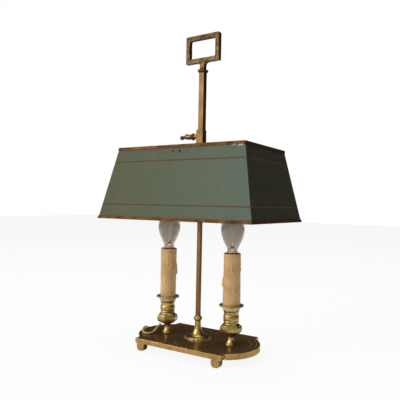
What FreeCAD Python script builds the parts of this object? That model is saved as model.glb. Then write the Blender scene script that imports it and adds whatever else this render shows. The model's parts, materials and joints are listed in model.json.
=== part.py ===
# Bouillotte lamp: a desk lamp with two candle lights on a footed plate, a square stem, and an oblong
# metal shade that slides on the stem and is held at its height by a thumb key.
#
# Millimetres. The origin is on the table under the middle of the lamp. +Z is up the stem, +X is
# along the row of candles, and -Y is the side that the photograph shows.
import FreeCAD
import Part
import Sketcher
import math
import os

V = FreeCAD.Vector

# The driving dimensions
SIZES = {
    # base plate and feet
    "foot_height": 11.0,
    "foot_wide": 13.5,
    "foot_deep": 10.0,
    "foot_flat": 6.0,
    "foot_inset": 2.8,
    "plate_long": 151.7,
    "plate_wide": 118.1,
    "plate_thick": 7.2,
    "lobe_reach": 101.0,
    "lobe_radius": 57.0,
    "lobe_thick": 8.8,
    "line_inset": 5.0,
    "line_gap": 7.5,
    "line_width": 0.9,
    "line_depth": 0.4,
    # stem
    "rod_side": 6.0,
    "rod_top": 355.0,
    "tang_radius": 2.5,
    "thread_tail": 6.5,
    "bore_play": 0.1,
    "socket_radius": 20.5,
    "socket_rise": 34.8,
    "washer_radius": 6.5,
    "washer_thick": 0.9,
    "nut_flats": 8.0,
    "nut_thick": 4.0,
    # sliding tube, collar and key
    "tube_side": 9.0,
    "tube_low": 290.0,
    "tube_top": 431.0,
    "slide_play": 0.08,
    "collar_side": 11.2,
    "collar_long": 12.0,
    "collar_shift": 0.9,
    "collar_top": 342.0,
    "collar_slope": 1.4,
    "key_height": 332.0,
    "key_shank": 2.0,
    "key_play": 0.06,
    "key_gap": 0.3,
    "key_disc": 5.7,
    "key_long": 32.5,
    # handle
    "handle_foot": 447.7,
    "handle_wide": 60.4,
    "handle_tall": 43.1,
    "handle_bar": 6.8,
    "handle_deep": 7.3,
    "handle_corner": 2.4,
    "neck_side": 8.0,
    "neck_flare": 6.0,
    "moulding_side": 12.4,
    "moulding_tall": 6.4,
    "plug_depth": 12.0,
    # shade
    "shade_top": 311.5,
    "shade_height": 110.6,
    "top_long": 222.4,
    "top_short": 134.1,
    "low_long": 267.0,
    "low_short": 175.7,
    "panel_thick": 0.8,
    "rim_tall": 4.5,
    "rim_proud": 1.0,
    "rim_lip": 0.6,
    "rim_ledge": 1.6,
    "bridge_top": 306.2,
    "bridge_wide": 22.0,
    "bridge_thick": 2.0,
    "bridge_tab": 8.0,
    "rivet_spacing": 12.0,
    "rivet_drop": 4.2,
    "rivet_shank": 1.2,
    "rivet_head": 2.0,
    "rivet_play": 0.05,
    # candle lights
    "candle_spacing": 117.2,
    "nipple_radius": 3.0,
    "nipple_bore": 2.0,
    "nipple_play": 0.1,
    "cup_foot": 7.4,
    "cup_neck": 4.6,
    "knop_low": 15.0,
    "knop_high": 31.2,
    "knop_radius": 17.2,
    "knop_corner": 16.9,
    "left_facet_turn": -8.0,
    "right_facet_turn": -22.0,
    "cup_ring": 12.4,
    "cup_top": 50.5,
    "pan_radius": 18.6,
    "pan_bead_count": 20.0,
    "bead_notch": 1.3,
    "pan_floor": 57.2,
    "sleeve_top": 135.5,
    "sleeve_wall": 1.4,
    "sleeve_radius": 13.0,
    "sleeve_lean": 0.35,
    "holder_play": 0.15,
    "holder_low": 104.0,
    "holder_tall": 29.0,
    "cap_radius": 6.9,
    "cap_play": 0.1,
    "cap_low": 113.0,
    "glass_low": 138.0,
    "glass_neck": 7.9,
    "glass_radius": 17.5,
    "glass_wide_at": 170.0,
    "glass_tip": 210.9,
    "glass_wall": 0.8,
    # flex
    "cord_radius": 1.9,
    "wire_radius": 0.9,
    "wire_height": 9.75,
    "wire_drop": 3.0,
    "wire_lead": 5.0,
    "wire_rise": 10.0,
    "wire_aside": 13.0,
    "coil_outer": 34.0,
    "coil_inner": 14.5,
    "coil_back": 6.0,
    "coil_layer_gap": 4.35,
    "coil_turns": 4.5,
    "switch_long": 50.0,
    "switch_wide": 18.0,
    "switch_tall": 11.0,
    "switch_middle": 18.0,
    "switch_nose": 5.0,
    "switch_taper": 10.0,
    "relief_long": 20.0,
    "relief_thick": 3.7,
    "relief_thin": 2.6,
    "relief_play": 0.08,
    "rocker_long": 15.0,
    "rocker_wide": 8.0,
    "rocker_gap": 0.3,
    "rocker_sunk": 3.2,
    "rocker_well": 6.4,
    "rocker_tilt": 8.0,
    "pivot_radius": 1.2,
    "pivot_reach": 1.6,
    "pivot_play": 0.08,
    "behind_lamp": 70.5,
    "plug_long": 24.0,
    "plug_wide": 22.0,
    "plug_tall": 10.0,
    "plug_front": -56.0,
    "blade_long": 16.0,
    "blade_wide": 6.3,
    "blade_thick": 1.5,
    "blade_spacing": 12.7,
}

doc = FreeCAD.newDocument("BouillotteLamp")
sheet = doc.addObject("Spreadsheet::Sheet", "Sizes")
for row, (alias, number) in enumerate(SIZES.items(), 1):
    sheet.set(f"A{row}", alias)
    sheet.set(f"B{row}", str(number))
    sheet.setAlias(f"B{row}", alias)
doc.recompute()


# Sizes that carry both their number and the formula that ties them to the sheet
class Size:
    def __init__(self, number, formula):
        self.number = number
        self.formula = formula

    def __add__(self, other):
        other = as_size(other)
        return Size(self.number + other.number, f"({self.formula} + {other.formula})")

    def __sub__(self, other):
        other = as_size(other)
        return Size(self.number - other.number, f"({self.formula} - {other.formula})")

    def __mul__(self, other):
        other = as_size(other)
        return Size(self.number * other.number, f"({self.formula} * {other.formula})")

    def __truediv__(self, other):
        other = as_size(other)
        return Size(self.number / other.number, f"({self.formula} / {other.formula})")

    def __radd__(self, other):
        return as_size(other) + self

    def __rsub__(self, other):
        return as_size(other) - self

    def __rmul__(self, other):
        return as_size(other) * self

    def __neg__(self):
        return Size(-self.number, f"(0 - {self.formula})")


def as_size(value):
    return value if isinstance(value, Size) else Size(float(value), f"({float(value)!r})")


def cell(alias):
    return Size(float(sheet.get(alias)), f"Sizes.{alias}")


def root(value):
    return Size(math.sqrt(value.number), f"sqrt({value.formula})")


def cosine(degrees):
    degrees = as_size(degrees)
    return Size(math.cos(math.radians(degrees.number)), f"cos({degrees.formula})")


def sine(degrees):
    degrees = as_size(degrees)
    return Size(math.sin(math.radians(degrees.number)), f"sin({degrees.formula})")


def bind(thing, **values):
    for name, value in values.items():
        thing.setExpression(name.replace("_of_", "."), as_size(value).formula)


# Sketches: an outline's corners are (x, y), (x, y, radius) where the edge that leaves the corner
# bulges outwards, or (x, y, radius, "in") where it is hollow. Outlines run counter-clockwise.
def new_body(label, x=0, y=0, z=0):
    body = doc.addObject("PartDesign::Body", label)
    body.Label = label
    bind(body, Placement_of_Base_of_x=x, Placement_of_Base_of_y=y, Placement_of_Base_of_z=z)
    return body


def new_sketch(body, name, plane, height=0):
    sketch = body.newObject("Sketcher::SketchObject", name)
    for feature in body.Origin.OriginFeatures:
        if feature.Role == plane:
            sketch.AttachmentSupport = (feature, [""])
    sketch.MapMode = "FlatFace"
    bind(sketch, AttachmentOffset_of_Base_of_z=height)
    return sketch


def held(sketch, constraint, name, value):
    index = sketch.addConstraint(constraint)
    sketch.renameConstraint(index, name)
    sketch.setExpression(f"Constraints.{name}", as_size(value).formula)


def hold_point(sketch, geometry, point, name, x, y):
    x, y = as_size(x), as_size(y)
    held(sketch, Sketcher.Constraint("DistanceX", -1, 1, geometry, point, x.number), f"{name}x", x)
    held(sketch, Sketcher.Constraint("DistanceY", -1, 1, geometry, point, y.number), f"{name}y", y)


def draw_outline(sketch, corners):
    first_geometry = sketch.GeometryCount
    edges = []
    for number, corner in enumerate(corners):
        after = corners[(number + 1) % len(corners)]
        start = V(as_size(corner[0]).number, as_size(corner[1]).number, 0)
        end = V(as_size(after[0]).number, as_size(after[1]).number, 0)
        if len(corner) == 2:
            geometry = sketch.addGeometry(Part.LineSegment(start, end), False)
        else:
            radius = as_size(corner[2]).number
            chord = end - start
            rise = radius - math.sqrt(max(radius**2 - chord.Length**2 / 4, 0))
            aside = V(chord.y, -chord.x, 0).normalize() * rise * (1 if len(corner) == 3 else -1)
            arc = Part.Arc(start, (start + end) / 2 + aside, end)
            geometry = sketch.addGeometry(arc, False)
        near = 1 if sketch.getPoint(geometry, 1).distanceToPoint(start) < 1e-5 else 2
        edges.append((geometry, near, 3 - near))
    for number, (geometry, near, far) in enumerate(edges):
        before = edges[number - 1]
        sketch.addConstraint(Sketcher.Constraint("Coincident", before[0], before[2], geometry, near))
    for number, (geometry, near, far) in enumerate(edges):
        corner = corners[number]
        name = f"p{first_geometry + number}"
        hold_point(sketch, geometry, near, name, corner[0], corner[1])
        if len(corner) > 2:
            radius = as_size(corner[2])
            held(sketch, Sketcher.Constraint("Radius", geometry, radius.number), f"{name}r", radius)


def draw_circle(sketch, x, y, radius):
    x, y, radius = as_size(x), as_size(y), as_size(radius)
    circle = Part.Circle(V(x.number, y.number, 0), V(0, 0, 1), radius.number)
    geometry = sketch.addGeometry(circle, False)
    name = f"c{geometry}"
    hold_point(sketch, geometry, 3, name, x, y)
    held(sketch, Sketcher.Constraint("Radius", geometry, radius.number), f"{name}r", radius)


def rectangle(half_x, half_y, x=0, y=0):
    left, right = x - half_x, x + half_x
    near, far = y - half_y, y + half_y
    return [(left, near), (right, near), (right, far), (left, far)]


def polygon(radius, sides, turn=0):
    corners = []
    for side in range(sides):
        angle = as_size(turn) + 360.0 / sides * side
        corners.append((radius * cosine(angle), radius * sine(angle)))
    return corners


def revolve(body, sketch, axis="V_Axis", kind="PartDesign::Revolution"):
    feature = body.newObject(kind, sketch.Name + "Turned")
    feature.Profile = sketch
    feature.ReferenceAxis = (sketch, [axis])
    feature.Angle = 360
    return feature


def pad(body, sketch, length, way="up", kind="PartDesign::Pad"):
    feature = body.newObject(kind, sketch.Name + "Raised")
    feature.Profile = sketch
    bind(feature, Length=length)
    if way == "both":
        feature.Midplane = True
    feature.Reversed = way == "down"
    return feature


def cut_through(body, sketch):
    feature = body.newObject("PartDesign::Pocket", sketch.Name + "Cut")
    feature.Profile = sketch
    feature.Type = "ThroughAll"
    feature.Midplane = True
    return feature


def loft(body, low, high, kind="PartDesign::AdditiveLoft"):
    feature = body.newObject(kind, low.Name + "Loft")
    feature.Profile = low
    feature.Sections = [high]
    feature.Ruled = True
    return feature


def turned(label, corners, x=0, y=0, z=0):
    body = new_body(label, x, y, z)
    sketch = new_sketch(body, label + "_profile", "XZ_Plane")
    draw_outline(sketch, corners)
    revolve(body, sketch)
    return body


def drilled(label, blank, tools):
    blank.Label = label + "_blank"
    cut = doc.addObject("Part::Cut", label + "_drilled")
    cut.Base = blank
    if len(tools) > 1:
        group = doc.addObject("Part::MultiFuse", label + "_drills")
        group.Shapes = tools
        cut.Tool = group
    else:
        cut.Tool = tools[0]
    cut.Label = label
    return cut


def shaped(label, shape):
    feature = doc.addObject("Part::Feature", label)
    feature.Shape = shape
    feature.Label = label
    return feature


# Heights and places that several pieces share
plate_top = cell("foot_height") + cell("plate_thick")
plate_half_long = cell("plate_long") / 2
plate_half_wide = cell("plate_wide") / 2
lobe_middle = cell("lobe_reach") - cell("lobe_radius")
candle_x = cell("candle_spacing") / 2
shade_low = cell("shade_top") - cell("shade_height")
SIDES = {"left": -1, "right": 1}


# Base plate: an oblong with a round lobe at each end, two engraved lines and three holes
def lobe_meets(inset):
    across = plate_half_long - inset - lobe_middle
    radius = cell("lobe_radius") - inset
    return root(radius * radius - across * across)


def plate_outline(inset):
    half_x = plate_half_long - inset
    half_y = plate_half_wide - inset
    meets = lobe_meets(inset)
    radius = cell("lobe_radius") - inset
    return [
        (-half_x, -half_y),
        (half_x, -half_y),
        (half_x, -meets, radius),
        (half_x, meets),
        (half_x, half_y),
        (-half_x, half_y),
        (-half_x, meets, radius),
        (-half_x, -meets),
    ]


def make_plate():
    body = new_body("base_plate")
    outline = new_sketch(body, "plate_outline", "XY_Plane", cell("foot_height"))
    draw_outline(outline, plate_outline(as_size(0)))
    pad(body, outline, cell("plate_thick"))
    skirts = new_sketch(body, "lobe_skirts", "XY_Plane", plate_top)
    meets = lobe_meets(as_size(0))
    draw_outline(skirts, [(plate_half_long, -meets, cell("lobe_radius")), (plate_half_long, meets)])
    draw_outline(skirts, [(-plate_half_long, meets, cell("lobe_radius")), (-plate_half_long, -meets)])
    pad(body, skirts, cell("lobe_thick"), "down")
    for name, inset in {
        "outer_line": cell("line_inset"),
        "inner_line": cell("line_inset") + cell("line_gap"),
    }.items():
        line = new_sketch(body, name, "XY_Plane", plate_top)
        draw_outline(line, plate_outline(inset))
        draw_outline(line, plate_outline(inset + cell("line_width")))
        pad(body, line, cell("line_depth"), kind="PartDesign::Pocket")
    holes = new_sketch(body, "plate_holes", "XY_Plane", plate_top)
    draw_circle(holes, 0, 0, cell("tang_radius") + cell("bore_play"))
    for side in SIDES.values():
        draw_circle(holes, side * candle_x, 0, cell("nipple_radius") + cell("nipple_play"))
    cut_through(body, holes)


def make_feet():
    half = cell("foot_wide") / 2
    flat = cell("foot_flat") / 2
    shoulder = half * 0.9
    for side, way in SIDES.items():
        for face, toward in {"front": -1, "back": 1}.items():
            x = way * (plate_half_long - cell("foot_inset") - half)
            y = toward * (plate_half_wide - cell("foot_deep") / 2)
            body = new_body(f"foot_{face}_{side}", x, y)
            tab = new_sketch(body, f"foot_{face}_{side}_outline", "XZ_Plane")
            corners = [
                (-flat, 0),
                (flat, 0, half),
                (half, shoulder),
                (half, cell("foot_height")),
                (-half, cell("foot_height")),
                (-half, shoulder, half),
            ]
            draw_outline(tab, corners)
            pad(body, tab, cell("foot_deep"), "both")


# Stem: a trumpet socket on the plate, a square rod with a round tang through it, washer and nut below
def make_stem():
    bore = cell("tang_radius") + cell("bore_play")
    outer = cell("socket_radius")
    rise = cell("socket_rise")
    turned(
        "stem_socket",
        [
            (bore, 0),
            (outer, 0),
            (outer, 1.7),
            (outer - 1.3, 2.6),
            (outer - 3.0, 2.9),
            (outer - 3.4, 4.1),
            (outer - 5.5, 4.6, 18.3, "in"),
            (4.75, rise - 11.5),
            (4.7, rise - 7.2),
            (5.6, rise - 6.6),
            (6.65, rise - 5.2),
            (6.65, rise - 3.9),
            (5.6, rise - 2.6),
            (4.9, rise - 2.2),
            (4.7, rise),
            (bore, rise),
        ],
        z=plate_top,
    )
    body = new_body("stem_rod")
    square = new_sketch(body, "rod_section", "XY_Plane", plate_top + rise)
    half = cell("rod_side") / 2
    draw_outline(square, rectangle(half, half))
    pad(body, square, cell("rod_top") - plate_top - rise)
    tang = new_sketch(body, "rod_tang", "XY_Plane", plate_top + rise)
    draw_circle(tang, 0, 0, cell("tang_radius"))
    pad(body, tang, plate_top + rise - cell("foot_height") + cell("thread_tail"), "down")
    washer_low = cell("foot_height") - cell("washer_thick")
    turned(
        "stem_washer",
        [
            (bore, 0),
            (cell("washer_radius"), 0),
            (cell("washer_radius"), cell("washer_thick")),
            (bore, cell("washer_thick")),
        ],
        z=washer_low,
    )
    hexagon_nut("stem_nut", 0, washer_low - cell("nut_thick"), bore)


def hexagon_nut(label, x, z, bore):
    body = new_body(label, x, 0, z)
    flats = new_sketch(body, label + "_flats", "XY_Plane")
    draw_outline(flats, polygon(cell("nut_flats") / 2 / cosine(30), 6))
    draw_circle(flats, 0, 0, bore)
    pad(body, flats, cell("nut_thick"))


# Sliding tube with its collar; the key's screw goes through the collar's left wall to the rod
def key_drill(name):
    drill = doc.addObject("Part::Cylinder", name)
    drill.Placement.Rotation = FreeCAD.Rotation(V(0, 1, 0), -90)
    bind(
        drill,
        Radius=cell("key_shank") + cell("key_play"),
        Height=cell("collar_long"),
        Placement_of_Base_of_z=cell("key_height"),
    )
    return drill


def make_tube():
    inner = cell("rod_side") / 2 + cell("slide_play")
    outer = cell("tube_side") / 2
    body = new_body("lift_tube_blank")
    section = new_sketch(body, "tube_section", "XY_Plane", cell("tube_low"))
    draw_outline(section, rectangle(outer, outer))
    draw_outline(section, rectangle(inner, inner))
    pad(body, section, cell("tube_top") - cell("tube_low"))
    drilled("lift_tube", body, [key_drill("tube_drill")])
    body = new_body("tube_collar_blank", -cell("collar_shift"))
    section = new_sketch(body, "collar_section", "XY_Plane", cell("bridge_top"))
    half_x, half_y = cell("collar_long") / 2, cell("collar_side") / 2
    draw_outline(section, rectangle(half_x, half_y))
    shoulder = cell("collar_top") - cell("collar_slope")
    pad(body, section, shoulder - cell("bridge_top"))
    low = new_sketch(body, "collar_shoulder", "XY_Plane", shoulder)
    draw_outline(low, rectangle(half_x, half_y))
    high = new_sketch(body, "collar_crown", "XY_Plane", cell("collar_top"))
    slope = cell("collar_slope") / 2
    draw_outline(high, rectangle(half_x - slope, half_y - slope / 2))
    loft(body, low, high)
    hole = new_sketch(body, "collar_bore", "XY_Plane", cell("bridge_top"))
    draw_outline(hole, rectangle(outer, outer, x=cell("collar_shift")))
    cut_through(body, hole)
    drilled("tube_collar", body, [key_drill("collar_drill")])


def make_key():
    start = cell("rod_side") / 2 + cell("key_gap")
    face = cell("collar_long") / 2 + cell("collar_shift")
    disc = cell("key_disc")
    shank = cell("key_shank")
    end = face + cell("key_long")
    body = new_body("thumb_key", z=cell("key_height"))
    profile = new_sketch(body, "key_profile", "XZ_Plane")
    corners = [
        (-start, 0),
        (-start, shank),
        (-face - 0.3, shank),
        (-face - 0.3, 3.4),
        (-face - 4.2, 3.4),
        (-face - 4.9, disc - 0.8),
        (-face - 6.4, disc),
        (-face - 8.0, disc - 0.6),
        (-face - 9.6, 4.3),
        (-face - 15.0, 4.1),
        (-face - 17.0, 3.4),
        (-face - 18.2, 4.3),
        (-face - 20.6, 4.9),
        (-face - 22.8, 4.1),
        (-face - 24.6, 2.7),
        (-face - 26.4, 2.8),
        (-end + 4.6, 3.4),
        (-end + 1.4, 2.9),
        (-end, 1.2),
        (-end, 0),
    ]
    draw_outline(profile, corners)
    revolve(body, profile, "H_Axis")


# Handle: an open frame on a flared neck, a square moulding, and a plug brazed into the tube
def make_handle():
    foot = cell("handle_foot")
    half = cell("handle_wide") / 2
    bar = cell("handle_bar")
    neck = cell("neck_side") / 2
    flare = cell("neck_flare")
    corner = cell("handle_corner")
    top = foot + cell("handle_tall")
    body = new_body("handle")
    outline = new_sketch(body, "handle_outline", "XZ_Plane")
    draw_outline(
        outline,
        [
            (-neck, cell("tube_top")),
            (neck, cell("tube_top")),
            (neck, foot - flare, flare, "in"),
            (neck + flare, foot),
            (half, foot),
            (half, top - 1),
            (half - 1, top),
            (-half + 1, top),
            (-half, top - 1),
            (-half, foot),
            (-neck - flare, foot, flare, "in"),
            (-neck, foot - flare),
        ],
    )
    inner_x, low, high = half - bar, foot + bar, top - bar
    draw_outline(
        outline,
        [
            (-inner_x + corner, low),
            (inner_x - corner, low, corner),
            (inner_x, low + corner),
            (inner_x, high - corner, corner),
            (inner_x - corner, high),
            (-inner_x + corner, high, corner),
            (-inner_x, high - corner),
            (-inner_x, low + corner, corner),
        ],
    )
    pad(body, outline, cell("handle_deep"), "both")
    wide, thin = cell("moulding_side") / 2, cell("tube_side") / 2
    middle = cell("tube_top") + cell("moulding_tall") / 2
    levels = [
        (cell("tube_top"), thin),
        (middle - 1, wide),
        (middle + 1, wide),
        (cell("tube_top") + cell("moulding_tall"), neck),
    ]
    for number in range(3):
        pair = []
        for place, (height, reach) in zip(("low", "high"), levels[number : number + 2]):
            ring = new_sketch(body, f"moulding_{number}_{place}", "XY_Plane", height)
            draw_outline(ring, rectangle(reach, reach))
            pair.append(ring)
        loft(body, pair[0], pair[1])
    plug = new_sketch(body, "handle_plug", "XY_Plane", cell("tube_top"))
    inside = cell("rod_side") / 2 + cell("slide_play")
    draw_outline(plug, rectangle(inside, inside))
    pad(body, plug, cell("plug_depth"), "down")


# Shade: four mitred panels in two rims, hung from a bridge that is riveted to the long panels
def rise_share(height):
    return (height - shade_low) / cell("shade_height")


def half_long(height):
    return (cell("low_long") + (cell("top_long") - cell("low_long")) * rise_share(height)) / 2


def half_short(height):
    return (cell("low_short") + (cell("top_short") - cell("low_short")) * rise_share(height)) / 2


panel_low = shade_low + cell("rim_lip")
panel_high = cell("shade_top") - cell("rim_lip")


def panel_edge(height, long_side, way):
    far_x, far_y = half_long(height) - cell("rim_proud"), half_short(height) - cell("rim_proud")
    near_x, near_y = far_x - cell("panel_thick"), far_y - cell("panel_thick")
    if long_side:
        far, near = way * far_y, way * near_y
        corners = [(-far_x, far), (far_x, far), (near_x, near), (-near_x, near)]
    else:
        far, near = way * far_x, way * near_x
        corners = [(far, -far_y), (far, far_y), (near, near_y), (near, -near_y)]
    return corners if (way < 0) == long_side else corners[::-1]


def rivet_spots():
    height = cell("bridge_top") - cell("rivet_drop")
    outer = half_short(height) - cell("rim_proud")
    lean = math.atan2((cell("low_short").number - cell("top_short").number) / 2, cell("shade_height").number)
    for way in (-1, 1):
        turn = FreeCAD.Rotation(V(1, 0, 0), -way * (90 - math.degrees(lean)))
        for side in (-0.5, 0.5):
            yield turn, side * cell("rivet_spacing"), way * outer, height


def rivet_drills(name):
    drills = []
    for number, (turn, x, y, z) in enumerate(rivet_spots()):
        drill = doc.addObject("Part::Cylinder", f"{name}_drill_{number}")
        depth = cell("bridge_thick") + cell("panel_thick")
        drill.Placement = FreeCAD.Placement(V(), turn)
        shift = turn.multVec(V(0, 0, -1))
        bind(
            drill,
            Radius=cell("rivet_shank") + cell("rivet_play"),
            Height=4 * depth,
            Placement_of_Base_of_x=x,
            Placement_of_Base_of_y=y + 2 * depth * shift.y,
            Placement_of_Base_of_z=z + 2 * depth * shift.z,
        )
        drills.append(drill)
    return drills


def make_rivets():
    head, shank = cell("rivet_head").number, cell("rivet_shank").number
    grip = cell("panel_thick").number + cell("bridge_thick").number
    corners = [(0, -grip - 0.8), (head * 0.8, -grip - 0.8), (head, -grip), (shank, -grip), (shank, 0)]
    corners += [(head, 0), (head * 0.93, 0.5), (head * 0.6, 1.0), (0, 1.2), (0, -grip - 0.8)]
    face = Part.Face(Part.makePolygon([V(x, 0, z) for x, z in corners]))
    rivet = face.revolve(V(), V(0, 0, 1), 360)
    rivets = []
    for turn, x, y, z in rivet_spots():
        copy = rivet.copy()
        copy.Placement = FreeCAD.Placement(V(x.number, y.number, z.number), turn)
        rivets.append(copy)
    shaped("bridge_rivets", Part.makeCompound(rivets))


def make_shade():
    for label, (long_side, way) in {
        "shade_front_panel": (True, -1),
        "shade_back_panel": (True, 1),
        "shade_left_panel": (False, -1),
        "shade_right_panel": (False, 1),
    }.items():
        body = new_body(label)
        low = new_sketch(body, label + "_low", "XY_Plane", panel_low)
        draw_outline(low, panel_edge(panel_low, long_side, way))
        high = new_sketch(body, label + "_high", "XY_Plane", panel_high)
        draw_outline(high, panel_edge(panel_high, long_side, way))
        loft(body, low, high)
        if long_side:
            drilled(label, body, rivet_drills(label))
    top, tall = cell("shade_top"), cell("rim_tall")
    make_rim("shade_low_rim", shade_low, shade_low + tall, panel_low, shade_low)
    make_rim("shade_top_rim", top - tall, top, panel_high, top)
    make_bridge()
    make_rivets()


def level(body, name, height, inset):
    sketch = new_sketch(body, name, "XY_Plane", height)
    draw_outline(sketch, rectangle(half_long(height) - inset, half_short(height) - inset))
    return sketch


def make_rim(label, low, high, seat, floor):
    body = new_body(label)
    loft(body, level(body, label + "_low", low, 0), level(body, label + "_high", high, 0))
    hollow = cell("rim_proud") + cell("panel_thick") + cell("rim_ledge")
    opening = level(body, label + "_opening", floor, hollow)
    cut_through(body, opening)
    proud = cell("rim_proud")
    first, last = (seat, high) if seat.number < (low.number + high.number) / 2 else (low, seat)
    seat_low = level(body, label + "_seat_low", first, proud)
    seat_high = level(body, label + "_seat_high", last, proud)
    loft(body, seat_low, seat_high, "PartDesign::SubtractiveLoft")


def make_bridge():
    top = cell("bridge_top")
    low = top - cell("bridge_tab")
    thick = cell("bridge_thick")

    def inside(height):
        return half_short(height) - cell("rim_proud") - cell("panel_thick")

    body = new_body("shade_bridge")
    strip = new_sketch(body, "bridge_strip", "YZ_Plane")
    draw_outline(
        strip,
        [
            (-inside(low), low),
            (thick - inside(low), low),
            (thick - inside(top - thick), top - thick),
            (inside(top - thick) - thick, top - thick),
            (inside(low) - thick, low),
            (inside(low), low),
            (inside(top), top),
            (-inside(top), top),
        ],
    )
    pad(body, strip, cell("bridge_wide"), "both")
    hole = new_sketch(body, "bridge_hole", "XY_Plane", top)
    draw_outline(hole, rectangle(cell("tube_side") / 2, cell("tube_side") / 2))
    cut_through(body, hole)
    drilled("shade_bridge", body, rivet_drills("shade_bridge"))


# Candle lights: nut and nipple, cup with a six-sided knop, beaded pan, sleeve, holder and bulb
def make_candle(side, way):
    x = way * candle_x
    bore = cell("nipple_radius") + cell("nipple_play")
    top = cell("cup_top")
    low, high = cell("knop_low"), cell("knop_high")
    middle = (low + high) / 2
    wide = cell("knop_radius")
    neck = cell("cup_neck")
    ring = cell("cup_ring")
    cup = turned(
        f"{side}_cup",
        [
            (bore, 0),
            (cell("cup_foot"), 0),
            (cell("cup_foot") - 0.3, 1.4, 8.5, "in"),
            (neck, low - 5),
            (neck + 0.4, low - 2.6),
            (9.7, low),
            (14.4, low + 3.2),
            (wide, middle - 1.6),
            (wide, middle + 1.2),
            (15.2, high - 3.4),
            (11.9, high),
            (11.2, high + 3.2),
            (11.6, high + 6.0),
            (ring, high + 7.2),
            (ring, high + 9.4),
            (11.5, high + 10.8),
            (11.0, high + 13.4),
            (11.2, top - 3.0),
            (12.1, top - 2.0),
            (12.1, top),
            (bore, top),
        ],
        x=x,
        z=plate_top,
    )
    flats = new_sketch(cup, f"{side}_knop_flats", "XY_Plane", low)
    draw_circle(flats, 0, 0, wide + 3)
    draw_outline(flats, polygon(cell("knop_corner"), 6, cell(f"{side}_facet_turn")))
    pad(cup, flats, high - low, "down", "PartDesign::Pocket")
    make_pan(side, x, bore)
    make_sleeve(side, way, x)
    make_holder(side, x)
    make_bulb(side, x)
    nipple_low = -cell("plate_thick") - cell("nut_thick") - 0.8
    turned(
        f"{side}_nipple",
        [
            (cell("nipple_bore"), nipple_low),
            (cell("nipple_radius"), nipple_low),
            (cell("nipple_radius"), cell("holder_low") + 4),
            (cell("nipple_bore"), cell("holder_low") + 4),
        ],
        x=x,
        z=plate_top,
    )
    hexagon_nut(f"{side}_nut", x, cell("foot_height") - cell("nut_thick"), bore)


def make_pan(side, x, bore):
    top, floor = cell("cup_top"), cell("pan_floor")
    rim = cell("pan_radius")
    pan = turned(
        f"{side}_pan",
        [
            (bore, top),
            (cell("cup_ring"), top),
            (rim - 3.4, top + 1.9),
            (rim - 0.9, top + 3.6),
            (rim, top + 5.4),
            (rim - 0.2, top + 7.4),
            (rim - 1.6, top + 8.6),
            (rim - 3.0, top + 8.0),
            (rim - 4.4, floor),
            (bore, floor),
        ],
        x=x,
        z=plate_top,
    )
    notch = new_sketch(pan, f"{side}_pan_notch", "XY_Plane", top)
    draw_circle(notch, rim + 0.35, 0, cell("bead_notch"))
    groove = pad(pan, notch, cell("sleeve_top") - top, "down", "PartDesign::Pocket")
    pattern = pan.newObject("PartDesign::PolarPattern", f"{side}_pan_beads")
    pattern.Originals = [groove]
    pattern.Axis = (notch, ["N_Axis"])
    pattern.Angle = 360
    bind(pattern, Occurrences=cell("pan_bead_count"))
    pan.Tip = pattern


def make_sleeve(side, way, x):
    floor, top = cell("pan_floor"), cell("sleeve_top")
    low_radius = cell("sleeve_radius") + way * cell("sleeve_lean")
    top_radius = cell("sleeve_radius") - way * cell("sleeve_lean")
    inner = cell("sleeve_radius") - cell("sleeve_lean") - cell("sleeve_wall")
    turned(
        f"{side}_sleeve",
        [(inner, floor), (low_radius, floor), (top_radius, top), (inner, top)],
        x=x,
        z=plate_top,
    )


def make_holder(side, x):
    low = cell("holder_low")
    top = low + cell("holder_tall")
    outer = cell("sleeve_radius") - cell("sleeve_lean") - cell("sleeve_wall") - cell("holder_play")
    bore = cell("cap_radius") + cell("cap_play")
    stem = cell("nipple_radius") + cell("nipple_play")
    turned(
        f"{side}_lampholder",
        [
            (stem, low),
            (outer, low),
            (outer, top - 1),
            (outer - 1, top),
            (bore, top),
            (bore, low + 6),
            (stem, low + 6),
        ],
        x=x,
        z=plate_top,
    )


def make_bulb(side, x):
    cap, low = cell("cap_radius"), cell("cap_low")
    neck, base = cell("glass_neck"), cell("glass_low")
    turned(
        f"{side}_bulb_cap",
        [
            (0, low - 2),
            (2.2, low - 2),
            (2.6, low - 0.6),
            (cap - 1.2, low),
            (cap, low + 2),
            (cap, base - 4),
            (neck, base - 1.6),
            (neck, base),
            (0, base),
        ],
        x=x,
        z=plate_top,
    )
    wide, wide_at = cell("glass_radius"), cell("glass_wide_at")
    tip, wall = cell("glass_tip"), cell("glass_wall")
    swell, taper = wide_at - base, tip - wide_at
    glass = [(neck, base)]
    for share, height in ((0.04, 0.11), (0.2, 0.24), (0.5, 0.4), (0.78, 0.61), (0.94, 0.78), (1, 0.94)):
        glass.append((neck + (wide - neck) * share, base + swell * height))
    for share, height in (
        (1, 0.06), (0.92, 0.28), (0.77, 0.51), (0.53, 0.76), (0.28, 0.9), (0.18, 0.96),
    ):
        glass.append((wide * share, wide_at + taper * height))
    outline = [(0, base)] + glass + [(0, tip)]
    outline += [(0, tip - 2 * wall)] + [(r - wall, z - wall / 3) for r, z in glass[:0:-1]]
    outline += [(neck - wall, base + wall), (0, base + wall)]
    turned(f"{side}_bulb_glass", outline, x=x, z=plate_top)
    stem_high = base + 27
    turned(
        f"{side}_bulb_mount",
        [
            (0, base + wall),
            (neck - 1.6, base + wall),
            (3.2, base + 6),
            (1.6, base + 12),
            (1.3, stem_high),
            (0, stem_high + 0.6),
        ],
        x=x,
        z=plate_top,
    )


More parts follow.
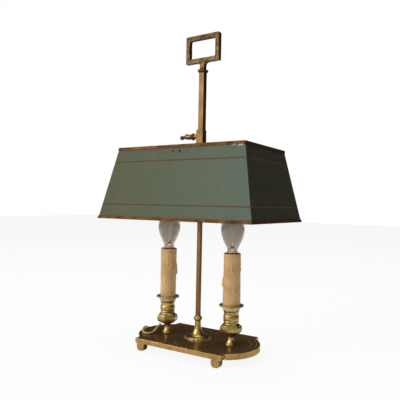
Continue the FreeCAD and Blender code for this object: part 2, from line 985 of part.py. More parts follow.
# Flex: tubes through hand-placed points, with an arc at each point as large as its runs allow
CORD_TO_SWITCH = [
    (-67.0, -6.5, 31.4),
    (-71.5, -12.0, 24.5),
    (-69.5, -22.0, 20.4),
    (-72.0, -32.5, 20.2),
    (-82.0, -32.5, 20.2),
    (-92.0, -20.5, 20.4),
    (-100.0, -8.0, 20.8),
    (-106.8, 7.0, 18.0),
    (-108.5, 23.0, 9.0),
    (-103.0, 36.0, 2.6),
    (-90.0, 42.5, 1.95),
    (-72.0, 42.0, 1.95),
    (-56.0, 43.0, 1.95),
    (-44.0, 46.5, 2.2),
    (-33.0, 53.0, 5.2),
    (-23.5, 62.0, 6.4),
    (-14.0, 70.5, 5.5),
    (-7.0, 70.5, 5.5),
]
CORD_TO_COIL = [
    (43.0, 70.5, 5.5),
    (49.5, 70.5, 5.5),
    (55.0, 65.0, 3.8),
    (55.0, 56.0, 2.1),
    (50.0, 44.0, 1.95),
    (43.0, 33.0, 1.95),
    (36.5, 21.0, 1.95),
    (34.0, 6.0, 1.95),
]
CORD_TO_PLUG = [
    (-34.0, 6.0, 6.3),
    (-34.0, 16.0, 5.9),
    (-33.5, 28.0, 2.9),
    (-31.0, 40.0, 1.95),
    (-26.5, 51.0, 1.95),
    (-22.5, 61.0, 1.95),
    (-25.0, 70.0, 3.2),
    (-33.0, 73.0, 5.0),
    (-56.0, 73.0, 5.0),
]


def cord_path(points):
    points = [V(*point) for point in points]
    edges = []
    radii = []
    start = points[0]
    for before, corner, after in zip(points, points[1:], points[2:]):
        come, leave = corner - before, after - corner
        turn = come.getAngle(leave)
        reach = 0.45 * min(come.Length, leave.Length)
        radius = reach / math.tan(turn / 2)
        first = corner - V(come).normalize() * reach
        last = corner + V(leave).normalize() * reach
        inward = (V(leave).normalize() - V(come).normalize()).normalize()
        middle = corner + inward * (math.hypot(radius, reach) - radius)
        edges.append(Part.LineSegment(start, first).toShape())
        edges.append(Part.Arc(first, middle, last).toShape())
        radii.append(round(radius, 1))
        start = last
    edges.append(Part.LineSegment(start, points[-1]).toShape())
    return Part.Wire(edges), radii


def swept(label, path, radius, sides, radii=()):
    start = path.OrderedEdges[0]
    way = start.tangentAt(start.FirstParameter).normalize()
    across = way.cross(V(0, 0, 1) if abs(way.z) < 0.9 else V(0, 1, 0)).normalize()
    over = across.cross(way)
    origin = path.OrderedVertexes[0].Point
    ring = []
    for side in range(sides + 1):
        angle = math.radians(360.0 / sides * (side % sides) + 180.0 / sides)
        ring.append(origin + (across * math.cos(angle) + over * math.sin(angle)) * radius)
    solid = Part.Wire(path).makePipeShell([Part.makePolygon(ring)], True, False)
    section = sides / 2 * radius**2 * math.sin(2 * math.pi / sides)
    share = solid.Volume / (section * path.Length)
    print(label, "length", round(path.Length, 1), "volume share", round(share, 4), "radii", list(radii))
    return shaped(label, solid)


def make_cords():
    radius = cell("cord_radius").number
    for label, points in {
        "cord_to_switch": CORD_TO_SWITCH,
        "cord_to_coil": CORD_TO_COIL,
        "cord_to_plug": CORD_TO_PLUG,
    }.items():
        path, radii = cord_path(points)
        swept(label, path, radius, 8, radii)
    x = candle_x.number
    low = cell("wire_height").number
    bottom = cell("foot_height").number - cell("nut_thick").number - 0.8
    turn = bottom - cell("wire_drop").number
    lead, rise = cell("wire_lead").number, cell("wire_rise").number
    left = [(-x, 0, bottom), (-x, 0, turn), (lead - x, lead / 4, turn), (rise - x, rise / 2, low)]
    right = [(-px, py, pz) for px, py, pz in reversed(left)]
    path, radii = cord_path(left + [(0, cell("wire_aside").number, low)] + right)
    swept("link_wire", path, cell("wire_radius").number, 6, radii)


def coil_point(angle, layer_share):
    turns = cell("coil_turns").number
    outer, inner = cell("coil_outer").number, cell("coil_inner").number
    done = -angle / 360
    depth = done / turns if done <= turns else (2 * turns + 0.5 - done) / (turns + 0.5)
    radius = outer - (outer - inner) * depth
    low = CORD_TO_COIL[-1][2]
    height = low + cell("coil_layer_gap").number * layer_share
    back = cell("coil_back").number
    turn = math.radians(angle)
    return V(radius * math.cos(turn), back + radius * math.sin(turn), height)


def make_coil():
    turns = cell("coil_turns").number
    quarter = 90
    steps = int((2 * turns + 0.5) * 360 / quarter)
    climb_at = turns * 360

    def climbed(angle):
        return min(max((-angle - climb_at + quarter) / (2 * quarter), 0), 1)

    points = []
    for step in range(2 * steps + 1):
        angle = -step * quarter / 2
        points.append(coil_point(angle, climbed(angle)))
    edges = []
    for step in range(steps):
        edges.append(Part.Arc(points[2 * step], points[2 * step + 1], points[2 * step + 2]).toShape())
    path = Part.Wire(edges)
    swept("cord_coil", path, cell("cord_radius").number, 6)
    samples = []
    count = 60 * steps
    for number in range(count + 1):
        angle = -number * steps * quarter / count
        samples.append(coil_point(angle, climbed(angle)))
    apart = int(count / (2 * turns + 0.5) / 2)
    least = min(
        samples[one].distanceToPoint(samples[two])
        for one in range(0, count, 6)
        for two in range(one + apart, count, 3)
    )
    print("coil: least gap to itself", round(least - 2 * cell("cord_radius").number, 2))


def make_switch():
    half, wide = cell("switch_long") / 2, cell("switch_wide") / 2
    nose, taper = cell("switch_nose"), cell("switch_taper")
    tall = cell("switch_tall")
    pivot_high = tall - cell("rocker_sunk")
    pin_long = cell("rocker_wide") + 2 * cell("pivot_reach")
    body = new_body("switch_case", cell("switch_middle"), cell("behind_lamp"))
    outline = new_sketch(body, "switch_outline", "XY_Plane")
    draw_outline(
        outline,
        [
            (-half, -nose),
            (taper - half, -wide),
            (half - taper, -wide),
            (half, -nose),
            (half, nose),
            (half - taper, wide),
            (taper - half, wide),
            (-half, nose),
        ],
    )
    pad(body, outline, tall)
    well = new_sketch(body, "switch_well", "XY_Plane", tall)
    gap = cell("rocker_gap")
    draw_outline(well, rectangle(cell("rocker_long") / 2 + gap, cell("rocker_wide") / 2 + gap))
    pad(body, well, cell("rocker_well"), kind="PartDesign::Pocket")
    bore = new_sketch(body, "pivot_bore", "XZ_Plane")
    draw_circle(bore, 0, pivot_high, cell("pivot_radius") + cell("pivot_play"))
    pad(body, bore, pin_long + 2 * cell("pivot_play"), "both", "PartDesign::Pocket")
    rocker = new_body("switch_rocker", cell("switch_middle"), cell("behind_lamp"), pivot_high)
    rocker.Placement.Rotation = FreeCAD.Rotation(V(0, 1, 0), cell("rocker_tilt").number)
    side = new_sketch(rocker, "rocker_side", "XZ_Plane")
    end = cell("rocker_long") / 2
    high = cell("rocker_sunk")
    draw_outline(
        side,
        [(1.5 - end, -1.8), (end - 1.5, -1.8), (end - 0.6, high), (0, high - 1.6), (0.6 - end, high)],
    )
    pad(rocker, side, cell("rocker_wide"), "both")
    pin = new_sketch(rocker, "rocker_pin", "XZ_Plane")
    draw_circle(pin, 0, 0, cell("pivot_radius"))
    pad(rocker, pin, pin_long, "both")


def make_plug():
    y = cell("behind_lamp") + 2.5
    half = cell("plug_wide") / 2
    long = cell("plug_long")
    body = new_body("plug_body", cell("plug_front"), y)
    outline = new_sketch(body, "plug_outline", "XY_Plane")
    near = [(0, -4), (0, 4), (-8, half - 1), (-10, half)]
    draw_outline(outline, near + [(-long, half), (-long, -half), (-10, -half), (-8, 1 - half)])
    pad(body, outline, cell("plug_tall"))
    relief = new_sketch(body, "plug_relief", "XZ_Plane")
    bind(relief, AttachmentOffset_of_Base_of_y=cell("plug_tall") / 2)
    bore = cell("cord_radius") + cell("relief_play")
    far = cell("relief_long")
    draw_outline(relief, [(0, bore), (far, bore), (far, cell("relief_thin")), (0, cell("relief_thick"))])
    revolve(body, relief, "H_Axis")
    blades = []
    for way in (-1, 1):
        across = way * cell("blade_spacing").number / 2
        blade = Part.makeBox(
            cell("blade_long").number,
            cell("blade_thick").number,
            cell("blade_wide").number,
            V(
                cell("plug_front").number - long.number - cell("blade_long").number,
                y.number + across - cell("blade_thick").number / 2,
                cell("plug_tall").number / 2 - cell("blade_wide").number / 2,
            ),
        )
        blades.append(blade)
    shaped("plug_blades", Part.makeCompound(blades))


make_plate()
make_feet()
make_stem()
make_tube()
make_key()
make_handle()
make_shade()
for side, way in SIDES.items():
    make_candle(side, way)
make_cords()
make_coil()
make_switch()
make_plug()
doc.recompute()

# Checks, then one file for each sub-part
used = set()
for item in doc.Objects:
    if "Invalid" in item.State or "Error" in item.State:
        raise RuntimeError(f"{item.Label} failed: {item.State} {item.getStatusString()}")
    for name in ("Base", "Tool", "Shapes"):
        inside = getattr(item, name, None) if item.TypeId in ("Part::Cut", "Part::MultiFuse") else None
        used.update(o.Name for o in (inside if isinstance(inside, list) else [inside]) if o)
os.makedirs("parts", exist_ok=True)
for item in doc.Objects:
    is_piece = item.TypeId in ("PartDesign::Body", "Part::Cut", "Part::Feature")
    if not is_piece or item.Name in used:
        continue
    shape = item.Shape
    if shape.isNull() or not shape.isValid() or not shape.Solids:
        raise RuntimeError(f"{item.Label} has no valid solid")
    shape.exportStep(f"parts/{item.Label}.step")
    print(f"{item.Label:22s} solids {len(shape.Solids)} volume {shape.Volume:10.1f}")
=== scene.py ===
# %% [markdown]
# # A bouillotte lamp, dressed for its portrait
# The frame holds every part of the lamp at its real size, in metres. This lesson gives the parts
# their finish: polished and patinated brass, painted sheet metal, waxy candle sleeves, clear glass
# and a limp twin flex. Each cell makes one piece or one finish.

import json
import math

import bmesh
import bpy
from mathutils import Matrix, Vector, noise

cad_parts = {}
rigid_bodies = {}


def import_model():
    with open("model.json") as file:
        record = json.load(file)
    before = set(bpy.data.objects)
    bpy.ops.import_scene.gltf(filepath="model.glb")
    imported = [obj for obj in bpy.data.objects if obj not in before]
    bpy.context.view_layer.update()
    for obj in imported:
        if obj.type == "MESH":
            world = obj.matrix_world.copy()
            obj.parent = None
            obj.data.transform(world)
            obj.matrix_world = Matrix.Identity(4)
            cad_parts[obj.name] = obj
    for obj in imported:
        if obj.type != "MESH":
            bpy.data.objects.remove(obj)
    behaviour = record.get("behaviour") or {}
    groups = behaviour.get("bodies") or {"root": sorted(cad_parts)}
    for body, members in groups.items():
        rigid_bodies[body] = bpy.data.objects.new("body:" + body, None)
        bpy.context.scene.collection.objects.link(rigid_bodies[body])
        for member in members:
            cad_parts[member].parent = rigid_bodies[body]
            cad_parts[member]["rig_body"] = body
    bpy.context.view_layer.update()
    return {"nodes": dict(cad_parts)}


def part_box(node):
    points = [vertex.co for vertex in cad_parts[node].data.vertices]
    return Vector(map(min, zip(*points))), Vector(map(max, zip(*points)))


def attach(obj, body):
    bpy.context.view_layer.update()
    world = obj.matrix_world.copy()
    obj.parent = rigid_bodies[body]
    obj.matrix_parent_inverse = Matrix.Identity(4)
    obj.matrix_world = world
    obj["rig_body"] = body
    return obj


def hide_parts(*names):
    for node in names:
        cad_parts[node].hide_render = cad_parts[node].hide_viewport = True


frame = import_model()
MM = 0.001

# %% [markdown]
# ## The camera
# The photograph was taken almost level, from a little over 700 mm in front of the lamp and to its
# right. The camera stands there and is turned by the same small angles. Its three axes are worked
# out from a compass turn, a tilt and a roll, so that each can be read as a plain angle.

# %% Set up the camera
CAMERA_PLACE = Vector((0.4002, -0.6305, 0.2243))
CAMERA_TURN, CAMERA_TILT, CAMERA_ROLL = math.radians(32.45), math.radians(-0.61), math.radians(1.17)
FOCAL_SHARE = 478 / 400

ahead = Vector((
    -math.sin(CAMERA_TURN) * math.cos(CAMERA_TILT),
    math.cos(CAMERA_TURN) * math.cos(CAMERA_TILT),
    -math.sin(CAMERA_TILT),
))
level_right = Vector((math.cos(CAMERA_TURN), math.sin(CAMERA_TURN), 0))
level_up = level_right.cross(ahead)
camera_right = level_right * math.cos(CAMERA_ROLL) + level_up * math.sin(CAMERA_ROLL)
camera_up = level_up * math.cos(CAMERA_ROLL) - level_right * math.sin(CAMERA_ROLL)

camera_data = bpy.data.cameras.new("portrait_camera")
camera_data.sensor_width = 36
camera_data.lens = 36 * FOCAL_SHARE
camera = bpy.data.objects.new("portrait_camera", camera_data)
bpy.context.scene.collection.objects.link(camera)
camera.matrix_world = Matrix.Translation(CAMERA_PLACE) @ Matrix(
    (camera_right, camera_up, -ahead)
).transposed().to_4x4()
bpy.context.scene.camera = camera
bpy.context.scene.view_settings.view_transform = "Standard"
print("lens", round(camera_data.lens, 2))

# %% [markdown]
# ## Small helpers for the meshes
# A turned piece is a profile spun round the upright axis. The profile is a few listed points, and
# cutting its corners a few times makes it flow, as a turner's gouge does. A point that is given
# twice keeps a crisp edge.

# %% Helpers that turn, shade and keep a mesh


def flowing(points, times=3):
    for _ in range(times):
        cut = [points[0]]
        for start, end in zip(points, points[1:]):
            a, b = Vector(start), Vector(end)
            cut += [tuple(a.lerp(b, 0.25)), tuple(a.lerp(b, 0.75))]
        points = cut + [points[-1]]
    return points


def lathe(profile, place=(0, 0, 0), steps=72):
    shape = bmesh.new()
    line = [shape.verts.new((radius * MM, 0, height * MM)) for radius, height in profile]
    edges = [shape.edges.new(pair) for pair in zip(line, line[1:]) if (pair[0].co - pair[1].co).length > 1e-7]
    bmesh.ops.spin(
        shape, geom=line + edges, cent=(0, 0, 0), axis=(0, 0, 1), angle=math.tau, steps=steps, use_merge=True
    )
    bmesh.ops.remove_doubles(shape, verts=shape.verts, dist=1e-6)
    bmesh.ops.dissolve_degenerate(shape, edges=shape.edges, dist=1e-7)
    bmesh.ops.recalc_face_normals(shape, faces=shape.faces)
    bmesh.ops.translate(shape, verts=shape.verts, vec=Vector(place) * MM)
    return shape


def add_shape(shape, other):
    spare = bpy.data.meshes.new("spare")
    other.to_mesh(spare)
    other.free()
    shape.from_mesh(spare)
    bpy.data.meshes.remove(spare)


def keep_piece(name, shape, body, stands_for=(), sharp_degrees=35):
    for face in shape.faces:
        face.smooth = True
    for edge in shape.edges:
        if len(edge.link_faces) == 2:
            edge.smooth = edge.calc_face_angle(0) < math.radians(sharp_degrees)
    mesh = bpy.data.meshes.new(name)
    shape.to_mesh(mesh)
    shape.free()
    piece = bpy.data.objects.new(name, mesh)
    bpy.context.scene.collection.objects.link(piece)
    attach(piece, body)
    if stands_for:
        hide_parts(*stands_for)
    return piece


def body_of(node):
    return frame["nodes"][node]["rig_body"]


# %% [markdown]
# A cast or sawn piece has no knife edges. The frame's own mesh of such a piece is copied, its
# loose triangles are merged into clean faces, and a small bevel lets its edges catch the light.

# %% Helper that softens the edges of a piece of the frame


def rise_of(face):
    heights = [vert.co.z for vert in face.verts]
    return max(heights) - min(heights)


SHARP_ENOUGH = math.radians(25)
FLAT_ENOUGH = math.radians(0.5)


def softened(node, width, segments=2, least_wall=0.0):
    shape = bmesh.new()
    shape.from_mesh(frame["nodes"][node].data)
    bmesh.ops.remove_doubles(shape, verts=shape.verts, dist=2e-6)
    bmesh.ops.dissolve_limit(shape, angle_limit=FLAT_ENOUGH, verts=shape.verts, edges=shape.edges)
    edges = [
        edge for edge in shape.edges
        if len(edge.link_faces) == 2
        and edge.calc_face_angle(0) > SHARP_ENOUGH
        and max(rise_of(face) for face in edge.link_faces) >= least_wall * MM
    ]
    bmesh.ops.bevel(
        shape, geom=edges, offset=width * MM, offset_type="OFFSET", segments=segments, profile=0.5,
        affect="EDGES", clamp_overlap=True, material=-1,
    )
    piece = keep_piece(node + "_finished", shape, body_of(node), (node,))
    even = piece.modifiers.new("even_normals", "WEIGHTED_NORMAL")
    even.weight = 100
    even.keep_sharp = True
    return piece


# %% [markdown]
# ## Colours and shared finishes
# Colours are written as they look in the photograph, from 0 to 255, and turned into the linear
# values that the renderer mixes. Effects that several finishes share are node groups, built once.

# %% Colour and node helpers


def colour(red, green, blue):
    def linear(value):
        share = value / 255
        return share / 12.92 if share <= 0.04045 else ((share + 0.055) / 1.055) ** 2.4

    return (linear(red), linear(green), linear(blue), 1.0)


def new_group(name, inputs, outputs):
    group = bpy.data.node_groups.new(name, "ShaderNodeTree")
    for label, kind, value in inputs:
        socket = group.interface.new_socket(label, in_out="INPUT", socket_type=kind)
        socket.default_value = value
    for label, kind in outputs:
        group.interface.new_socket(label, in_out="OUTPUT", socket_type=kind)
    return group, group.nodes.new("NodeGroupInput"), group.nodes.new("NodeGroupOutput")


def add(tree, kind, **values):
    node = tree.nodes.new(kind)
    for name, value in values.items():
        if name.startswith("in_"):
            node.inputs[int(name[3:])].default_value = value
        else:
            setattr(node, name, value)
    return node


def ramp_between(tree, source, low, high):
    node = add(tree, "ShaderNodeMapRange", in_1=low, in_2=high, clamp=True)
    tree.links.new(source, node.inputs[0])
    return node.outputs[0]


def mixed(tree, share, first, second):
    node = add(tree, "ShaderNodeMix", data_type="RGBA")
    for socket, value in ((node.inputs[0], share), (node.inputs[6], first), (node.inputs[7], second)):
        if isinstance(value, bpy.types.NodeSocket):
            tree.links.new(value, socket)
        else:
            socket.default_value = value
    return node.outputs[2]


def maths(tree, operation, first, second=0.0, third=0.0):
    node = add(tree, "ShaderNodeMath", operation=operation)
    for socket, value in zip(node.inputs, (first, second, third)):
        if isinstance(value, bpy.types.NodeSocket):
            tree.links.new(value, socket)
        else:
            socket.default_value = value
    return node.outputs[0]


# %% [markdown]
# Old brass is never one colour. Handling polishes it, and lacquer and damp leave brown clouds and
# small dark specks. The tarnish group mixes two tones with a broad cloud and fine specks, and gives
# the roughness and the tiny relief that go with them.

# %% Group: tarnish
FLOAT, RGBA = "NodeSocketFloat", "NodeSocketColor"


def make_tarnish_group():
    group, start, end = new_group(
        "tarnish",
        [
            ("Bright", RGBA, (0.6, 0.45, 0.2, 1)),
            ("Dull", RGBA, (0.2, 0.12, 0.05, 1)),
            ("Cloud Size", FLOAT, 60.0),
            ("Amount", FLOAT, 0.5),
            ("Polish", FLOAT, 0.2),
        ],
        [("Colour", RGBA), ("Roughness", FLOAT), ("Relief", FLOAT)],
    )
    place = add(group, "ShaderNodeTexCoord")
    cloud = add(group, "ShaderNodeTexNoise", in_3=5.0, in_4=0.62)
    specks = add(group, "ShaderNodeTexNoise", in_2=900.0, in_3=3.0, in_4=0.6)
    group.links.new(place.outputs["Object"], cloud.inputs["Vector"])
    group.links.new(place.outputs["Object"], specks.inputs["Vector"])
    group.links.new(start.outputs["Cloud Size"], cloud.inputs["Scale"])
    clouds = ramp_between(group, cloud.outputs["Fac"], 0.38, 0.68)
    dots = ramp_between(group, specks.outputs["Fac"], 0.58, 0.74)
    stain = maths(group, "MAXIMUM", clouds, maths(group, "MULTIPLY", dots, 0.7))
    stain = maths(group, "MULTIPLY", stain, start.outputs["Amount"])
    group.links.new(mixed(group, stain, start.outputs["Bright"], start.outputs["Dull"]), end.inputs["Colour"])
    rough = maths(group, "MULTIPLY_ADD", stain, 0.22, start.outputs["Polish"])
    group.links.new(rough, end.inputs["Roughness"])
    group.links.new(maths(group, "MULTIPLY", dots, -0.4), end.inputs["Relief"])
    return group


tarnish_group = make_tarnish_group()


def new_material(name):
    material = bpy.data.materials.new(name)
    material.use_nodes = True
    shader = material.node_tree.nodes["Principled BSDF"]
    return material, material.node_tree, shader


def add_relief(tree, shader, height, distance_mm, strength=1.0):
    bump = add(tree, "ShaderNodeBump")
    bump.inputs["Distance"].default_value = distance_mm * MM
    bump.inputs["Strength"].default_value = strength
    tree.links.new(height, bump.inputs["Height"])
    tree.links.new(bump.outputs["Normal"], shader.inputs["Normal"])


def use_tarnish(tree, bright, dull, cloud_size, amount, polish):
    node = add(tree, "ShaderNodeGroup", node_tree=tarnish_group)
    for name, value in (
        ("Bright", bright), ("Dull", dull), ("Cloud Size", cloud_size), ("Amount", amount), ("Polish", polish),
    ):
        node.inputs[name].default_value = value
    return node


def brass_finish(name, bright, dull, cloud_size=60.0, amount=0.6, polish=0.2, relief=0.05):
    material, tree, shader = new_material(name)
    stain = use_tarnish(tree, bright, dull, cloud_size, amount, polish)
    tree.links.new(stain.outputs["Colour"], shader.inputs["Base Color"])
    tree.links.new(stain.outputs["Roughness"], shader.inputs["Roughness"])
    shader.inputs["Metallic"].default_value = 1.0
    add_relief(tree, shader, stain.outputs["Relief"], relief)
    return material


candle_brass = brass_finish("candle_brass", colour(196, 166, 104), colour(120, 98, 58), 90.0, 0.6, 0.24)
stem_brass = brass_finish("stem_brass", colour(130, 98, 58), colour(94, 66, 38), 40.0, 0.5, 0.34)
tube_brass = brass_finish("tube_brass", colour(112, 87, 53), colour(92, 67, 41), 35.0, 0.5, 0.4)
handle_brass = brass_finish("handle_brass", colour(92, 76, 49), colour(50, 36, 23), 110.0, 0.9, 0.42)
bead_brass = brass_finish("bead_brass", colour(176, 142, 90), colour(104, 78, 46), 160.0, 0.6, 0.28)
key_brass = brass_finish("key_brass", colour(128, 104, 64), colour(52, 38, 22), 160.0, 0.9, 0.32)
dark_fixings = brass_finish("dark_fixings", colour(80, 62, 44), colour(36, 26, 18), 200.0, 0.8, 0.45)
bare_steel = brass_finish("bare_steel", colour(176, 174, 168), colour(96, 90, 82), 120.0, 0.6, 0.35)

# %% [markdown]
# ## The flex
# The lamp has a limp, flat twin flex of about 4 mm. It leaves the underside of the left cup, lies on
# the plate in one loop, and drops over the left end. The rest was never photographed, so it is put
# away: through an in-line switch behind the lamp, into a coil under the plate, and out to its plug.
# Each free stretch is one spline through its points, with a twin profile swept along it. The
# profile is drawn in millimetres, and each point's radius of a thousandth brings it to size.

# %% Route the flex
FLEX_WIDE, FLEX_THICK = 4.0, 3.2
TO_SWITCH = [
    (-67.0, -6.5, 31.4), (-71.5, -12.0, 24.5), (-69.5, -22.0, 20.2), (-72.0, -32.5, 19.8),
    (-82.0, -32.5, 19.8), (-92.0, -20.5, 20.0), (-100.0, -8.0, 20.6), (-106.8, 7.0, 18.0),
    (-108.5, 23.0, 9.0), (-103.0, 36.0, 2.4), (-90.0, 42.5, 1.5), (-72.0, 42.0, 1.5),
    (-56.0, 43.0, 1.5), (-44.0, 46.5, 2.0), (-33.0, 53.0, 5.2), (-23.5, 62.0, 6.4),
    (-14.0, 70.5, 5.5), (-7.0, 70.5, 5.5),
]
TO_COIL = [
    (43.0, 70.5, 5.5), (49.5, 70.5, 5.5), (55.0, 65.0, 3.8), (55.0, 56.0, 2.1), (50.0, 44.0, 1.95),
    (43.0, 33.0, 1.95), (36.5, 21.0, 1.95), (34.0, 6.0, 1.95),
]
TO_PLUG = [
    (-34.0, 6.0, 6.3), (-34.0, 16.0, 5.9), (-33.5, 28.0, 2.9), (-31.0, 40.0, 1.6), (-26.5, 51.0, 1.5),
    (-22.5, 61.0, 1.6), (-25.0, 70.0, 3.2), (-33.0, 73.0, 5.0), (-56.0, 73.0, 5.0),
]
COIL_OUTER, COIL_INNER, COIL_TURNS, LAYER_GAP, COIL_BACK = 34.0, 14.5, 4.5, 4.35, 6.0


def coil_points(step_degrees=22.5):
    points = []
    last = 2 * COIL_TURNS + 0.5
    for step in range(1, int(last * 360 / step_degrees)):
        turns = step * step_degrees / 360
        inward = turns / COIL_TURNS if turns <= COIL_TURNS else (last - turns) / (COIL_TURNS + 0.5)
        radius = COIL_OUTER - (COIL_OUTER - COIL_INNER) * inward
        climb = min(max((turns - COIL_TURNS + 0.25) / 0.5, 0), 1)
        angle = -turns * math.tau
        height = TO_COIL[-1][2] + LAYER_GAP * climb
        points.append((radius * math.cos(angle), COIL_BACK + radius * math.sin(angle), height))
    return points


def flat_profile():
    profile = bpy.data.curves.new("flex_profile", "CURVE")
    spline = profile.splines.new("POLY")
    outline = []
    for step in range(16):
        angle = step / 16 * math.tau
        waist = 1 - 0.12 * abs(math.sin(angle)) ** 6
        outline.append((FLEX_WIDE / 2 * math.cos(angle), FLEX_THICK / 2 * math.sin(angle) * waist))
    spline.points.add(len(outline) - 1)
    for point, (across, over) in zip(spline.points, outline):
        point.co = (across, over, 0, 1)
    spline.use_cyclic_u = True
    return bpy.data.objects.new("flex_profile", profile)


def smooth_curve(name, points):
    curve = bpy.data.curves.new(name, "CURVE")
    curve.dimensions = "3D"
    spline = curve.splines.new("NURBS")
    spline.points.add(len(points) - 1)
    for control, point in zip(spline.points, points):
        control.co = (*(Vector(point) * MM), 1)
        control.radius = MM
    spline.order_u = 3
    spline.use_endpoint_u = True
    return curve


def make_flex(name, points, profile):
    curve = smooth_curve(name, points)
    curve.splines[0].resolution_u = 8
    curve.splines[0].use_smooth = True
    curve.twist_mode = "Z_UP"
    curve.bevel_mode = "OBJECT"
    curve.bevel_object = profile
    curve.use_fill_caps = True
    piece = bpy.data.objects.new(name, curve)
    bpy.context.scene.collection.objects.link(piece)
    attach(piece, "base")
    return piece


def spline_length(points):
    curve = smooth_curve("ruler", points)
    ruler = bpy.data.objects.new("ruler", curve)
    mesh = bpy.data.meshes.new_from_object(ruler)
    total = sum((mesh.vertices[e.vertices[0]].co - mesh.vertices[e.vertices[1]].co).length for e in mesh.edges)
    bpy.data.objects.remove(ruler)
    bpy.data.curves.remove(curve)
    bpy.data.meshes.remove(mesh)
    return total


profile_shape = flat_profile()
flex_route = {
    "flex_to_switch": TO_SWITCH,
    "flex_to_plug": TO_COIL + coil_points() + TO_PLUG,
}
flex_pieces = {name: make_flex(name, points, profile_shape) for name, points in flex_route.items()}
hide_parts("cord_to_switch")
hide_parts("cord_to_coil", "cord_coil", "cord_to_plug")
for name, points in flex_route.items():
    print(name, "length", round(spline_length(points), 3))

# %% [markdown]
# The length of each stretch is worked out from its points.

round(spline_length(TO_SWITCH), 3)
round(spline_length(flex_route["flex_to_plug"]), 3)
print("flex pieces", sorted(flex_pieces))

# %% [markdown]
# The flex is a yellowed ivory plastic. Only its colour varies a little along its length.

# %% Finish: ivory plastic


def plastic_finish(name, clean, soiled, roughness):
    material, tree, shader = new_material(name)
    stain = use_tarnish(tree, clean, soiled, 70.0, 0.5, roughness)
    tree.links.new(stain.outputs["Colour"], shader.inputs["Base Color"])
    tree.links.new(stain.outputs["Roughness"], shader.inputs["Roughness"])
    add_relief(tree, shader, stain.outputs["Relief"], 0.02)
    return material


flex_plastic = plastic_finish("flex_plastic", colour(206, 172, 110), colour(160, 124, 68), 0.32)
ivory_plastic = plastic_finish("ivory_plastic", colour(208, 192, 150), colour(170, 148, 104), 0.35)
dark_plastic = plastic_finish("dark_plastic", colour(40, 36, 32), colour(24, 20, 18), 0.5)
for piece in flex_pieces.values():
    piece.data.materials.append(flex_plastic)

# %% [markdown]
# ## The base plate and its feet
# The plate is cast brass. Its top is dark and glossy with age, its rim is rubbed bright, and two
# fine lines are cut round the top. The finish reads the height and the way each face looks: up is
# dark, sideways is bright, and the floor of a cut line is pale. So is the crust that old polish has
# left round the foot of the stem.

# %% Plate finish and pieces
PLATE_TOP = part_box("base_plate")[1][2]
CRUST_RADIUS, CRUST_EDGE = 0.0202, 0.0222


def plate_finish():
    material, tree, shader = new_material("plate_patina")
    top = use_tarnish(tree, colour(112, 88, 62), colour(98, 76, 52), 45.0, 0.6, 0.16)
    rim = use_tarnish(tree, colour(206, 168, 104), colour(128, 96, 52), 70.0, 0.6, 0.24)
    shape = add(tree, "ShaderNodeNewGeometry")
    looks = add(tree, "ShaderNodeSeparateXYZ")
    tree.links.new(shape.outputs["Normal"], looks.inputs[0])
    place = add(tree, "ShaderNodeSeparateXYZ")
    spot = add(tree, "ShaderNodeTexCoord")
    tree.links.new(spot.outputs["Object"], place.inputs[0])
    upward = ramp_between(tree, looks.outputs[2], 0.75, 0.97)
    at_top = ramp_between(tree, place.outputs[2], PLATE_TOP - 0.0003, PLATE_TOP - 0.0001)
    cut_line = maths(tree, "MULTIPLY", upward, maths(tree, "SUBTRACT", 1.0, at_top))
    base = mixed(tree, upward, rim.outputs["Colour"], top.outputs["Colour"])
    flat_spot = add(tree, "ShaderNodeVectorMath", operation="MULTIPLY", in_1=(1, 1, 0))
    tree.links.new(spot.outputs["Object"], flat_spot.inputs[0])
    from_stem = add(tree, "ShaderNodeVectorMath", operation="LENGTH")
    tree.links.new(flat_spot.outputs[0], from_stem.inputs[0])
    ring = maths(tree, "SUBTRACT", 1.0, ramp_between(tree, from_stem.outputs["Value"], CRUST_RADIUS, CRUST_EDGE))
    pale = maths(tree, "MAXIMUM", cut_line, maths(tree, "MULTIPLY", ring, 0.75))
    base = mixed(tree, pale, base, colour(176, 160, 130))
    tree.links.new(base, shader.inputs["Base Color"])
    tree.links.new(top.outputs["Roughness"], shader.inputs["Roughness"])
    sheen = maths(tree, "SUBTRACT", 1.0, maths(tree, "MULTIPLY", upward, 0.45))
    tree.links.new(maths(tree, "MULTIPLY", sheen, maths(tree, "SUBTRACT", 1.0, pale)), shader.inputs["Metallic"])
    shader.inputs["Specular Tint"].default_value = (0.95, 0.8, 0.6, 1)
    add_relief(tree, shader, top.outputs["Relief"], 0.015)
    return material


plate_patina = plate_finish()
plate = softened("base_plate", 0.4, 2, least_wall=2.0)
plate.data.materials.append(plate_patina)
for end in ("front", "back"):
    for side in ("left", "right"):
        foot = softened(f"foot_{end}_{side}", 0.5, 2)
        foot.data.materials.append(candle_brass)
print("plate top at", round(PLATE_TOP / MM, 2), "mm, with", len(plate.data.polygons), "faces")

# %% [markdown]
# ## The stem
# A trumpet socket carries a plain square rod. Above it a heavier square tube slides, with a collar
# for the key's screw. The socket is spun, and the sawn pieces are softened copies.

